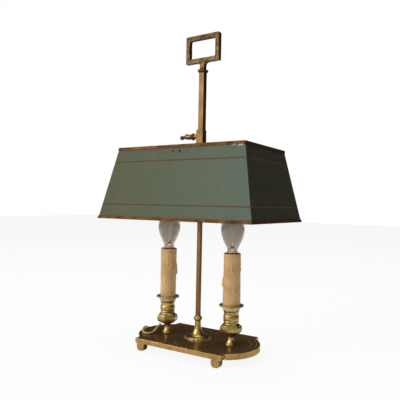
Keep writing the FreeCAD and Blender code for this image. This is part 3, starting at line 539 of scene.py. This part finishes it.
# %% Socket, rod, tube and collar
socket_profile = [
    (2.6, 18.2), (18.2, 18.2), (18.2, 18.2), (18.2, 19.8), (17.8, 20.6), (16.6, 20.9), (16.2, 21.4), (12.6, 21.8),
    (11.4, 22.4), (9.4, 24.0), (7.4, 27.0), (6.0, 30.8), (5.1, 35.0), (4.7, 40.0), (4.7, 45.4),
    (5.2, 45.9), (6.4, 46.6), (6.8, 48.3), (6.4, 50.2), (5.2, 50.8), (4.7, 51.2), (4.75, 53.0), (4.75, 53.0),
    (2.6, 53.0),
]
socket = keep_piece("stem_socket_finished", lathe(flowing(socket_profile, 2)), "base", ("stem_socket",))
socket.data.materials.append(candle_brass)
for node, width, finish, slot in (
    ("stem_rod", 0.35, stem_brass, "brass"),
    ("lift_tube", 0.35, tube_brass, "tube_brass"),
    ("tube_collar", 0.5, tube_brass, "tube_brass"),
    ("shade_bridge", 0.3, stem_brass, "tube_brass"),
):
    piece = softened(node, width, 2)
    piece.data.materials.append(finish)
    print(node, "softened by", width, "mm")

# %% [markdown]
# ## The handle
# The handle is a cast open frame with a row of small beads near the outer edge of each face. The
# frame is a softened copy, and each bead is a tiny sphere sunk half way into the face. The beads
# are rubbed brighter than the frame, so they have a finish of their own.

# %% Handle with its beaded edge
HANDLE_LOW, HANDLE_HIGH, HANDLE_HALF, HANDLE_FACE = 447.7, 490.8, 30.2, 3.65
BEAD_SPACING, BEAD_RADIUS, BEAD_INSET, BEAD_SUNK = 3.0, 1.25, 1.9, 0.45


def beaded_edges():
    beads = bmesh.new()
    left, right = -HANDLE_HALF + BEAD_INSET, HANDLE_HALF - BEAD_INSET
    low, high = HANDLE_LOW + BEAD_INSET, HANDLE_HIGH - BEAD_INSET
    runs = [((left, low), (left, high)), ((right, low), (right, high)), ((left, high), (right, high))]
    for face in (-1, 1):
        for start, end in runs:
            start, end = Vector(start), Vector(end)
            count = round((end - start).length / BEAD_SPACING)
            for number in range(count + 1):
                spot = start.lerp(end, number / count)
                place = Vector((spot.x, face * (HANDLE_FACE - BEAD_SUNK), spot.y)) * MM
                bmesh.ops.create_icosphere(
                    beads, subdivisions=1, radius=BEAD_RADIUS * MM, matrix=Matrix.Translation(place)
                )
    return beads


handle = softened("handle", 1.3, 3)
handle_shape = bmesh.new()
handle_shape.from_mesh(handle.data)
first_bead_face = len(handle_shape.faces)
add_shape(handle_shape, beaded_edges())
handle_shape.to_mesh(handle.data)
handle_shape.free()
handle.data.materials.append(handle_brass)
handle.data.materials.append(bead_brass)
for polygon in handle.data.polygons:
    polygon.material_index = 1 if polygon.index >= first_bead_face else 0
print("handle frame has", first_bead_face, "faces, its beads", len(handle.data.polygons) - first_bead_face)

# %% [markdown]
# ## The key
# The thumb key is brass: a plain shank, a disc, a swelling body with a lump on it, and a ball at
# the tip. Its round parts are spun and laid on their side, and three spheres make the lumps that a
# lathe can't.

# %% Thumb key
KEY_PLACE = Vector((0, 0, 332))
key_profile = [
    (0, 3.3), (2, 3.3), (2, 3.3), (2, 7.2), (3.5, 7.2), (3.5, 12.6), (5.0, 13.6), (5.9, 15.2), (5.4, 17.0),
    (4.2, 18.6), (3.6, 20.4), (3.9, 22.6), (4.0, 25.0), (3.7, 27.6), (3.3, 30.0), (2.5, 32.0),
    (2.5, 33.6), (0, 34.0),
]
key_shape = lathe(flowing(key_profile, 2), steps=48)
bmesh.ops.rotate(key_shape, verts=key_shape.verts, cent=(0, 0, 0), matrix=Matrix.Rotation(-math.pi / 2, 3, "Y"))
KEY_LUMPS = (((-28.0, 0, 1.9), 3.5), ((-22.6, 0, -0.6), 3.9), ((-36.9, 0, -0.7), 3.6))
for lump, radius in KEY_LUMPS:
    bmesh.ops.create_uvsphere(
        key_shape, u_segments=24, v_segments=16, radius=radius * MM, matrix=Matrix.Translation(Vector(lump) * MM)
    )
bmesh.ops.translate(key_shape, verts=key_shape.verts, vec=KEY_PLACE * MM)
key = keep_piece("thumb_key_finished", key_shape, "key", ("thumb_key",))
key.data.materials.append(key_brass)
print("key has", len(key.data.polygons), "faces")

# %% [markdown]
# ## The shade
# The four sheet-metal panels are painted sage green outside and off-white inside, with two thin
# gilt lines. The paint has faded unevenly, and it is chipped along the top edge. Across each panel
# the green also turns from a warm tone to a cooler, brighter one, which is painted light, and the
# short end panels are painted a near-black green, which is painted shade. One finish serves all
# four panels: it reads the height for the lines, and the way a face looks for inside or outside.

# %% Shade finish and pieces
shade_low, shade_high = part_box("shade_low_rim")[0][2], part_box("shade_top_rim")[1][2]
GILT_LINES = (shade_low + 0.0222, shade_high - 0.0230)
LINE_HALF_WIDTH = 0.0009


def band_mask(tree, height, middle, half_width):
    away = maths(tree, "ABSOLUTE", maths(tree, "SUBTRACT", height, middle))
    return maths(tree, "SUBTRACT", 1.0, ramp_between(tree, away, half_width * 0.7, half_width * 1.3))


def shade_finish(name, axis, warm, cool, wear_share):
    material, tree, shader = new_material(name)
    spot = add(tree, "ShaderNodeTexCoord")
    place = add(tree, "ShaderNodeSeparateXYZ")
    tree.links.new(spot.outputs["Object"], place.inputs[0])
    shape = add(tree, "ShaderNodeNewGeometry")
    looks = add(tree, "ShaderNodeSeparateXYZ")
    tree.links.new(shape.outputs["Normal"], looks.inputs[0])
    outside = maths(tree, "GREATER_THAN", maths(tree, "MULTIPLY", place.outputs[axis], looks.outputs[axis]), 0.0)
    # painted light: across each panel the green turns from the warm tone to the cooler, brighter one
    painted_light_ramp = ramp_between(tree, place.outputs[0 if axis == 1 else 1], -0.12, 0.13)
    fade = add(tree, "ShaderNodeTexNoise", in_2=9.0, in_3=6.0, in_4=0.6)
    tree.links.new(spot.outputs["Object"], fade.inputs["Vector"])
    drift = maths(tree, "MULTIPLY_ADD", fade.outputs["Fac"], 0.5, -0.25)
    paint = mixed(tree, maths(tree, "ADD", painted_light_ramp, drift), warm, cool)
    scuff = add(tree, "ShaderNodeTexNoise", in_2=240.0, in_3=6.0, in_4=0.7)
    tree.links.new(spot.outputs["Object"], scuff.inputs["Vector"])
    marks = ramp_between(tree, scuff.outputs["Fac"], 0.52, 0.8)
    paint = mixed(tree, maths(tree, "MULTIPLY", marks, 0.25), paint, colour(150, 150, 120))
    lines = maths(
        tree, "MAXIMUM",
        band_mask(tree, place.outputs[2], GILT_LINES[0], LINE_HALF_WIDTH),
        band_mask(tree, place.outputs[2], GILT_LINES[1], LINE_HALF_WIDTH),
    )
    wear = ramp_between(tree, scuff.outputs["Fac"], 0.66, 0.5)
    lines = maths(tree, "MULTIPLY", lines, maths(tree, "MULTIPLY_ADD", wear, 0.35, 0.55))
    paint = mixed(tree, lines, paint, colour(88, 60, 34))
    chips = add(tree, "ShaderNodeTexNoise", in_2=170.0, in_3=4.0, in_4=0.65)
    tree.links.new(spot.outputs["Object"], chips.inputs["Vector"])
    near_top = ramp_between(tree, place.outputs[2], shade_high - 0.012, shade_high - 0.005)
    near_end = ramp_between(tree, place.outputs[0], 0.04, 0.095)
    worn = maths(tree, "MULTIPLY", maths(tree, "MULTIPLY", near_top, near_end), wear_share)
    chipped = ramp_between(tree, maths(tree, "ADD", chips.outputs["Fac"], worn), 0.80, 0.84)
    paint = mixed(tree, chipped, paint, colour(214, 208, 190))
    whole = mixed(tree, outside, colour(196, 186, 160), paint)
    tree.links.new(whole, shader.inputs["Base Color"])
    rough = maths(tree, "MULTIPLY_ADD", marks, 0.15, 0.6)
    tree.links.new(rough, shader.inputs["Roughness"])
    shader.inputs["Specular IOR Level"].default_value = 0.12
    add_relief(tree, shader, maths(tree, "ADD", scuff.outputs["Fac"], chipped), 0.06, 0.5)
    return material


long_paint = shade_finish("sage_paint_long", 1, colour(86, 88, 65), colour(95, 107, 93), 0.3)
# painted shade: the short end panels get a near-black green, far darker than the long panels
painted_shade_short_paint = shade_finish("sage_paint_short_painted_shade", 0, colour(46, 45, 33), colour(48, 49, 38), 0.05)
for node, paint in (
    ("shade_front_panel", long_paint),
    ("shade_back_panel", long_paint),
    ("shade_left_panel", painted_shade_short_paint),
    ("shade_right_panel", painted_shade_short_paint),
):
    frame["nodes"][node].data.materials.clear()
    frame["nodes"][node].data.materials.append(paint)
rim_gilt = brass_finish("rim_gilt", colour(100, 68, 40), colour(64, 42, 26), 70.0, 0.8, 0.55)
for node in ("shade_low_rim", "shade_top_rim"):
    rim = softened(node, 0.4, 2)
    rim.data.materials.append(rim_gilt)
print("gilt lines at", [round(height / MM, 1) for height in GILT_LINES], "mm")

# %% [markdown]
# ## The candle cups
# Each cup is turned in one piece, with a fat knop whose sides are then filed to six flats that
# still bulge like a barrel. The cup is spun from its profile, and every point of the knop is then
# drawn in towards a hexagon. The two cups were screwed down to different angles, so their flats
# differ too.

# %% Cups with six-sided knops
CUP_PLACES = {"left": (-58.6, 0, 18.2), "right": (58.6, 0, 18.2)}
FACET_TURN = {"left": -12.0, "right": -23.0}
KNOP_LOW, KNOP_HIGH, KNOP_BLEND, NECK_RADIUS = 14.6, 29.6, 2.2, 4.0
HALF_FLAT = math.radians(30)
cup_profile = [
    (3.1, 0), (8.4, 0), (8.4, 0), (8.3, 0.7), (6.8, 2.2), (5.5, 4.6), (4.7, 7.6), (4.4, 10.6), (5.0, 12.8),
    (8.6, 14.5), (13.0, 16.2), (16.3, 18.4), (17.0, 21.8), (16.8, 25.2), (15.0, 28.0), (12.4, 29.8), (11.0, 31.2),
    (10.9, 32.4), (11.2, 33.4), (11.8, 33.9), (11.6, 34.8), (11.3, 35.2), (11.7, 36.8), (12.0, 38.6), (11.6, 40.4),
    (11.7, 40.9), (12.0, 41.5), (11.5, 42.2), (11.0, 44.4), (11.0, 47.4), (11.3, 48.8), (12.1, 49.4), (12.3, 50.4),
    (3.1, 50.5),
]


def make_cup(side):
    shape = lathe(flowing(cup_profile, 2), steps=96)
    for vert in shape.verts:
        height = vert.co.z / MM
        inside = min(height - KNOP_LOW, KNOP_HIGH - height) / KNOP_BLEND
        share = min(max(inside, 0), 1)
        if share == 0 or Vector(vert.co.xy).length < NECK_RADIUS * MM:
            continue
        from_flat = math.atan2(vert.co.y, vert.co.x) % (2 * HALF_FLAT) - HALF_FLAT
        flatten = math.cos(HALF_FLAT) / math.cos(from_flat)
        vert.co.xy *= 1 + share * (flatten - 1)
    turn = Matrix.Rotation(math.radians(FACET_TURN[side]), 3, "Z")
    bmesh.ops.rotate(shape, verts=shape.verts, cent=(0, 0, 0), matrix=turn)
    bmesh.ops.translate(shape, verts=shape.verts, vec=Vector(CUP_PLACES[side]) * MM)
    cup = keep_piece(f"{side}_cup_finished", shape, "base", (f"{side}_cup",), 28)
    cup.data.materials.append(candle_brass)
    print(side, "cup has", len(cup.data.polygons), "faces")


for side in CUP_PLACES:
    make_cup(side)

# %% [markdown]
# ## The beaded pans
# A shallow pan catches the wax, with a ring of twenty beads under its lip. The pan is spun, and one
# bead after the other is set round it. The beads are rubbed pale. Inside the lip the brass is stained
# and also painted darker as the shadow in the dish, so the finish changes at the height of the lip.

# %% Pans with beads
PAN_BEADS, BEAD_RING, PAN_BEAD_RADIUS, BEAD_HEIGHT = 20, 11.9, 1.7, 53.9
PAN_LIP, LIP_BLEND = 57.2, 0.3
BEAD_STRETCH = Matrix.Diagonal((1, 1, 1.3, 1))
pan_profile = [
    (3.1, 50.5), (11.4, 50.5), (11.6, 51.0), (11.8, 53.4), (12.6, 55.4), (15.4, 55.8), (17.8, 56.2), (18.6, 57.0),
    (18.5, 58.2), (17.6, 58.9), (16.4, 58.7), (15.0, 58.2), (13.6, 58.0), (3.1, 58.0),
]


def pan_finish():
    material, tree, shader = new_material("pan_brass")
    bright = use_tarnish(tree, colour(240, 222, 184), colour(160, 134, 94), 120.0, 0.5, 0.3)
    dish_stain_and_shade = use_tarnish(tree, colour(176, 146, 106), colour(128, 100, 68), 120.0, 0.8, 0.5)
    spot = add(tree, "ShaderNodeTexCoord")
    place = add(tree, "ShaderNodeSeparateXYZ")
    tree.links.new(spot.outputs["Object"], place.inputs[0])
    lip = PLATE_TOP + PAN_LIP * MM
    # painted shadow: above the lip's height the dish turns to a darker tone; its clouds are real stain, its
    # darkness partly painted shade
    above = ramp_between(tree, place.outputs[2], lip - LIP_BLEND * MM, lip + LIP_BLEND * MM)
    base = mixed(tree, above, bright.outputs["Colour"], dish_stain_and_shade.outputs["Colour"])
    tree.links.new(base, shader.inputs["Base Color"])
    tree.links.new(dish_stain_and_shade.outputs["Roughness"], shader.inputs["Roughness"])
    shader.inputs["Metallic"].default_value = 1.0
    return material


pan_brass = pan_finish()


def make_pan(side):
    shape = lathe(flowing(pan_profile, 2), steps=80)
    for number in range(PAN_BEADS):
        angle = math.tau * number / PAN_BEADS
        place = Vector((BEAD_RING * math.cos(angle), BEAD_RING * math.sin(angle), BEAD_HEIGHT))
        bmesh.ops.create_uvsphere(
            shape, u_segments=14, v_segments=10, radius=PAN_BEAD_RADIUS * MM,
            matrix=Matrix.Translation(place * MM) @ BEAD_STRETCH,
        )
    bmesh.ops.translate(shape, verts=shape.verts, vec=Vector(CUP_PLACES[side]) * MM)
    pan = keep_piece(f"{side}_pan_finished", shape, "base", (f"{side}_pan",))
    pan.data.materials.append(pan_brass)
    print(side, "pan has", PAN_BEADS, "beads")


for side in CUP_PLACES:
    make_pan(side)

# %% [markdown]
# ## The candle sleeves
# The sleeves are cream tubes made to look like candles, with wax that ran down and set. Each run is
# a soft ridge that ends in a drop. The tube is spun with many rings, and its skin is then pushed
# out under each run, and a little everywhere, as hand-dipped wax is.

# %% Sleeves with wax runs
SLEEVE_LOW, SLEEVE_HIGH = 57.2, 135.5
SLEEVE_RADII = {"left": (12.5, 12.8), "right": (13.3, 12.6)}
SLEEVE_BORE, SLEEVE_RINGS, SKIN_FROM, MOST_WAX = 11.3, 150, 0.0122, 2.2
WAX_RUNS = {
    "left": [
        (32, 110, 15, 2.2, 2.0), (-60, 124, 14, 1.8, 0.7), (-95, 135, 30, 1.8, 0.6), (-30, 118, 14, 1.8, 0.7),
        (-75, 92, 10, 1.8, 1.0), (70, 135, 30, 3.0, 1.2), (130, 135, 22, 3.4, 1.2), (185, 135, 40, 2.6, 1.2),
    ],
    "right": [
        (-148, 98, 12, 2.2, 2.2), (-62, 124, 14, 1.6, 0.9), (-7, 92, 8, 1.8, 1.1), (-45, 84, 9, 1.8, 1.1),
        (-90, 135, 26, 1.8, 0.6), (-25, 112, 10, 1.6, 0.8), (50, 135, 26, 3.0, 1.2), (110, 135, 34, 2.6, 1.2),
    ],
}


def wax_height(angle, height, runs, radius):
    rise = 0.0
    for direction, top, length, width, thick in runs:
        around = (angle - math.radians(direction) + math.pi) % math.tau - math.pi
        across = around * radius / width
        down = (top - height) / length
        if -0.15 < down < 1.12:
            body = 0.55 + 0.45 * max(0, down)
            ends = min(1, (down + 0.15) / 0.2) * min(1, (1.12 - down) / 0.14)
            drop = 0.7 * math.exp(-(((down - 0.97) / 0.07) ** 2))
            rise += thick * (body + drop) * ends * math.exp(-(across**2))
    return min(rise, MOST_WAX)


def make_sleeve(side):
    low_radius, high_radius = SLEEVE_RADII[side]
    outside = []
    for ring in range(SLEEVE_RINGS + 1):
        share = ring / SLEEVE_RINGS
        height = SLEEVE_LOW + (SLEEVE_HIGH - 0.5 - SLEEVE_LOW) * share
        outside.append((low_radius + (high_radius - low_radius) * share, height))
    profile = [(SLEEVE_BORE, SLEEVE_LOW)] + outside + [(high_radius - 0.5, SLEEVE_HIGH), (11.4, SLEEVE_HIGH - 0.1)]
    profile += [(SLEEVE_BORE, SLEEVE_HIGH - 1.0), (SLEEVE_BORE, SLEEVE_LOW)]
    shape = lathe(profile, steps=144)
    for vert in shape.verts:
        flat = Vector((vert.co.x, vert.co.y, 0))
        if flat.length < SKIN_FROM:
            continue
        height = vert.co.z / MM
        angle = math.atan2(flat.y, flat.x)
        seed = Vector((vert.co.x * 120, vert.co.y * 120, vert.co.z * 40 + (7 if side == "left" else 0)))
        push = 0.22 * noise.noise(seed) + 0.07 * noise.noise(seed * 4)
        push += wax_height(angle, height, WAX_RUNS[side], flat.length / MM)
        fade = min(1, (height - SLEEVE_LOW) / 4)
        vert.co += flat.normalized() * push * fade * MM
    bmesh.ops.translate(shape, verts=shape.verts, vec=Vector(CUP_PLACES[side]) * MM)
    sleeve = keep_piece(f"{side}_sleeve_finished", shape, "base", (f"{side}_sleeve",), 60)
    sleeve.data.materials.append(candle_wax)
    print(side, "sleeve has", len(WAX_RUNS[side]), "runs of wax")


def wax_finish():
    material, tree, shader = new_material("candle_wax")
    stain = use_tarnish(tree, colour(218, 178, 118), colour(180, 138, 84), 55.0, 0.8, 0.34)
    spot = add(tree, "ShaderNodeTexCoord")
    pores = add(tree, "ShaderNodeTexNoise", in_2=420.0, in_3=5.0, in_4=0.7)
    tree.links.new(spot.outputs["Object"], pores.inputs["Vector"])
    dirt = ramp_between(tree, pores.outputs["Fac"], 0.6, 0.78)
    base = mixed(tree, maths(tree, "MULTIPLY", dirt, 0.45), stain.outputs["Colour"], colour(118, 84, 46))
    place = add(tree, "ShaderNodeSeparateXYZ")
    tree.links.new(spot.outputs["Object"], place.inputs[0])
    top = PLATE_TOP + SLEEVE_HIGH * MM
    brim = ramp_between(tree, place.outputs[2], top - 0.0014, top - 0.0006)
    base = mixed(tree, maths(tree, "MULTIPLY", brim, 0.8), base, colour(96, 66, 38))
    tree.links.new(base, shader.inputs["Base Color"])
    tree.links.new(stain.outputs["Roughness"], shader.inputs["Roughness"])
    shader.inputs["Subsurface Weight"].default_value = 0.15
    shader.inputs["Subsurface Radius"].default_value = (0.004, 0.002, 0.001)
    add_relief(tree, shader, pores.outputs["Fac"], 0.12, 0.6)
    return material


candle_wax = wax_finish()
for side in CUP_PLACES:
    make_sleeve(side)

# %% [markdown]
# ## The bulbs
# Clear candle bulbs stand in the holders, each with a screw cap, a glass stem, two wires and a fine
# filament. The glass is a thin shell with an inside, so that it bends light as real glass does.

# %% Bulbs
glass_profile = [
    (7.9, 138.0), (7.9, 138.0), (8.1, 141.0), (9.2, 144.8), (12.0, 149.6), (15.0, 156.6), (16.9, 163.0),
    (17.6, 169.5), (17.2, 177.0), (15.6, 185.5), (12.6, 195.0), (8.6, 203.2), (5.4, 207.6), (3.2, 210.0),
    (1.4, 210.9), (0, 210.9),
]
cap_profile = [(0, 111.0), (2.2, 111.0), (2.6, 112.6), (5.7, 113.0), (6.8, 115.0)]
for turn in range(6):
    cap_profile += [(6.9, 116.2 + 2.8 * turn), (6.3, 117.6 + 2.8 * turn)]
cap_profile += [(6.9, 133.4), (8.0, 135.6), (8.3, 137.0), (8.3, 137.9), (0, 137.9)]
WIRE_FOOT, WIRE_BEND, WIRE_TOP = (1.0, 163), (2.2, 168), (6.0, 180)
FILAMENT_TURNS, FILAMENT_STEPS, FILAMENT_RADIUS = 20, 120, 0.35
mount_profile = [(0, 138.9), (6.6, 138.9), (5.2, 142.5), (3.0, 145.5), (1.7, 150.0), (1.4, 165.0), (0, 165.4)]


def glass_finish():
    material, tree, shader = new_material("bulb_glass")
    spot = add(tree, "ShaderNodeTexCoord")
    haze = add(tree, "ShaderNodeTexNoise", in_2=60.0, in_3=4.0, in_4=0.6)
    tree.links.new(spot.outputs["Object"], haze.inputs["Vector"])
    rough = maths(tree, "MULTIPLY", ramp_between(tree, haze.outputs["Fac"], 0.45, 0.8), 0.08)
    tree.links.new(rough, shader.inputs["Roughness"])
    shader.inputs["Base Color"].default_value = (0.75, 0.69, 0.61, 1)
    shader.inputs["Transmission Weight"].default_value = 1.0
    shader.inputs["IOR"].default_value = 1.48
    return material


def thin_wire(points, radius_mm, material, name, node):
    curve = bpy.data.curves.new(name, "CURVE")
    curve.dimensions = "3D"
    curve.bevel_depth = radius_mm * MM
    spline = curve.splines.new("POLY")
    spline.points.add(len(points) - 1)
    for control, point in zip(spline.points, points):
        control.co = (*(Vector(point) * MM), 1)
    holder = bpy.data.objects.new(name, curve)
    mesh = bpy.data.meshes.new_from_object(holder)
    bpy.data.objects.remove(holder)
    piece = bpy.data.objects.new(name, mesh)
    bpy.context.scene.collection.objects.link(piece)
    piece.data.materials.append(material)
    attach(piece, body_of(node))


bulb_glass = glass_finish()
bright_wire = brass_finish("bright_wire", colour(232, 228, 220), colour(180, 172, 160), 120.0, 0.4, 0.2)
cap_metal = brass_finish("cap_metal", colour(226, 216, 196), colour(150, 128, 96), 150.0, 0.5, 0.3)


def make_bulb(side):
    place = CUP_PLACES[side]
    outer = flowing(glass_profile, 2)
    inner = [(max(radius - 0.7, 0), height - 0.4 * (height > 200)) for radius, height in outer]
    shape = lathe(outer + inner[::-1][:-1] + [(7.2, 138.0), (7.9, 138.0)], place, 72)
    glass = keep_piece(f"{side}_bulb_glass_finished", shape, "base", (f"{side}_bulb_glass",), 80)
    glass.data.materials.append(bulb_glass)
    cap = keep_piece(f"{side}_bulb_cap_finished", lathe(cap_profile, place, 48), "base", (f"{side}_bulb_cap",))
    cap.data.materials.append(cap_metal)
    mount = keep_piece(
        f"{side}_bulb_mount_finished", lathe(flowing(mount_profile, 1), place, 32), "base", (f"{side}_bulb_mount",)
    )
    mount.data.materials.append(bulb_glass)
    x, _, base = place
    for way in (-1, 1):
        wire = [(x + way * aside, 0, base + rise) for aside, rise in (WIRE_FOOT, WIRE_BEND, WIRE_TOP)]
        thin_wire(wire, 0.4, bright_wire, f"{side}_bulb_wire_{'a' if way < 0 else 'b'}", f"{side}_bulb_glass")
    coil = []
    reach, middle = WIRE_TOP
    for step in range(FILAMENT_STEPS + 1):
        share = step / FILAMENT_STEPS
        angle = share * math.tau * FILAMENT_TURNS
        across, up = FILAMENT_RADIUS * math.cos(angle), FILAMENT_RADIUS * math.sin(angle)
        coil.append((x - reach + 2 * reach * share, across, base + middle + up))
    thin_wire(coil, 0.12, bright_wire, f"{side}_filament", f"{side}_bulb_glass")


for side in CUP_PLACES:
    make_bulb(side)
print("bulbs reach", glass_profile[-1][1], "mm above the plate's top")

# %% [markdown]
# ## The tie
# A flat band holds the put-away coil together under the plate. It starts as a flat rectangle round
# the bundle of turns. Its corners are rounded, its outline is drawn out into a band, and the band is
# given its thickness.

# %% Tie round the coil
TIE_WIDE, TIE_THICK, TIE_CORNER = 4.0, 0.5, 2.0
TIE_NEAR, TIE_FAR, TIE_LOW, TIE_HIGH = 12.0, 36.6, 0.6, 8.4


def make_tie():
    shape = bmesh.new()
    corners = ((TIE_NEAR, TIE_LOW), (TIE_FAR, TIE_LOW), (TIE_FAR, TIE_HIGH), (TIE_NEAR, TIE_HIGH))
    ring = [shape.verts.new(Vector((-TIE_WIDE / 2, COIL_BACK + back, up)) * MM) for back, up in corners]
    bmesh.ops.contextual_create(shape, geom=ring)
    bmesh.ops.bevel(
        shape, geom=ring, offset=TIE_CORNER * MM, segments=6, profile=0.5, affect="VERTICES", material=-1
    )
    bmesh.ops.delete(shape, geom=list(shape.faces), context="FACES_ONLY")
    band = bmesh.ops.extrude_edge_only(shape, edges=list(shape.edges))["geom"]
    drawn = [part for part in band if isinstance(part, bmesh.types.BMVert)]
    bmesh.ops.translate(shape, verts=drawn, vec=(TIE_WIDE * MM, 0, 0))
    bmesh.ops.recalc_face_normals(shape, faces=shape.faces)
    bmesh.ops.solidify(shape, geom=list(shape.faces), thickness=TIE_THICK * MM)
    bmesh.ops.recalc_face_normals(shape, faces=shape.faces)
    return keep_piece("coil_tie", shape, "base")


tie = make_tie()
tie.data.materials.append(dark_plastic)
print("tie loop is", round(TIE_FAR - TIE_NEAR, 1), "by", round(TIE_HIGH - TIE_LOW, 1), "mm")

# %% [markdown]
# ## Everything else
# Pieces that hardly show keep the frame's mesh and get a finish: nuts, nipples, holders, rivets and
# the wire under the plate. The switch and the plug keep theirs too, in aged ivory plastic.

# %% Finish the hidden pieces
HIDDEN_FINISHES = (
    (bare_steel, ("stem_washer", "stem_nut", "left_nut", "right_nut", "left_nipple", "right_nipple")),
    (dark_plastic, ("left_lampholder", "right_lampholder")),
    (dark_fixings, ("bridge_rivets",)),
    (flex_plastic, ("link_wire",)),
    (cap_metal, ("plug_blades",)),
    (ivory_plastic, ("switch_case", "plug_body", "switch_rocker")),
)
for finish, nodes in HIDDEN_FINISHES:
    for node in nodes:
        frame["nodes"][node].data.materials.clear()
        frame["nodes"][node].data.materials.append(finish)
    print(finish.name, "on", ", ".join(nodes))

# %% [markdown]
# ## Light and background
# The photograph is cut out on white, with light from the left and front. One large soft lamp stands
# there, a small one in front gives the brass its narrow highlights, and a wide one fills from above.
# The floor is pale and keeps a faint shadow. The world is white to the camera and dim to the paint.
# For reflections it goes from bright in front to dark behind, as a room with one window does.

# %% Floor, lamps and world
BRIGHT_SIDE = Vector((-0.3, -0.9, 0.3)).normalized()
FLOOR_GLOW, AMBIENT = 0.9, 0.24


def make_floor():
    shape = bmesh.new()
    bmesh.ops.create_grid(shape, x_segments=1, y_segments=1, size=6)
    mesh = bpy.data.meshes.new("floor")
    shape.to_mesh(mesh)
    shape.free()
    floor = bpy.data.objects.new("floor", mesh)
    bpy.context.scene.collection.objects.link(floor)
    material, tree, shader = new_material("pale_floor")
    shader.inputs["Base Color"].default_value = (0.86, 0.86, 0.86, 1)
    shader.inputs["Roughness"].default_value = 1.0
    shader.inputs["Specular IOR Level"].default_value = 0.0
    glow = add(tree, "ShaderNodeEmission", in_0=(1, 1, 1, 1), in_1=1.0)
    path = add(tree, "ShaderNodeLightPath")
    share = maths(tree, "MULTIPLY", path.outputs["Is Camera Ray"], FLOOR_GLOW)
    blend = add(tree, "ShaderNodeMixShader")
    tree.links.new(share, blend.inputs[0])
    tree.links.new(shader.outputs[0], blend.inputs[1])
    tree.links.new(glow.outputs[0], blend.inputs[2])
    tree.links.new(blend.outputs[0], tree.nodes["Material Output"].inputs[0])
    floor.data.materials.append(material)


def make_lamp(name, place, aim, size, power):
    data = bpy.data.lights.new(name, "AREA")
    data.shape = "DISK"
    data.size = size
    data.energy = power
    lamp = bpy.data.objects.new(name, data)
    bpy.context.scene.collection.objects.link(lamp)
    lamp.location = place
    lamp.rotation_euler = (Vector(aim) - Vector(place)).to_track_quat("-Z", "Y").to_euler()


def make_world():
    world = bpy.data.worlds.new("studio")
    bpy.context.scene.world = world
    world.use_nodes = True
    tree = world.node_tree
    tree.nodes.clear()
    path = add(tree, "ShaderNodeLightPath")
    spot = add(tree, "ShaderNodeTexCoord")
    dot = add(tree, "ShaderNodeVectorMath", operation="DOT_PRODUCT")
    tree.links.new(spot.outputs["Generated"], dot.inputs[0])
    dot.inputs[1].default_value = BRIGHT_SIDE
    lit = ramp_between(tree, dot.outputs["Value"], -0.2, 0.95)
    tone = mixed(tree, lit, (0.04, 0.03, 0.02, 1), (0.86, 0.84, 0.79, 1))
    mirror = add(tree, "ShaderNodeBackground", in_1=1.0)
    tree.links.new(tone, mirror.inputs[0])
    ambient = add(tree, "ShaderNodeBackground", in_0=(1, 1, 1, 1), in_1=AMBIENT)
    white = add(tree, "ShaderNodeBackground", in_0=(1, 1, 1, 1), in_1=1.0)
    first = add(tree, "ShaderNodeMixShader")
    tree.links.new(path.outputs["Is Glossy Ray"], first.inputs[0])
    tree.links.new(ambient.outputs[0], first.inputs[1])
    tree.links.new(mirror.outputs[0], first.inputs[2])
    seen = maths(tree, "MAXIMUM", path.outputs["Is Camera Ray"], path.outputs["Is Transmission Ray"])
    second = add(tree, "ShaderNodeMixShader")
    tree.links.new(seen, second.inputs[0])
    tree.links.new(first.outputs[0], second.inputs[1])
    tree.links.new(white.outputs[0], second.inputs[2])
    end = add(tree, "ShaderNodeOutputWorld")
    tree.links.new(second.outputs[0], end.inputs[0])


make_floor()
make_lamp("window_light", (-1.1, -1.5, 0.95), (0, 0, 0.2), 1.3, 20)
make_lamp("front_strip", (0.42, -1.75, 0.55), (0, 0, 0.15), 0.12, 1.5)
make_lamp("ceiling_fill", (0.1, 0.2, 2.4), (0, 0, 0.2), 2.4, 40)
make_world()
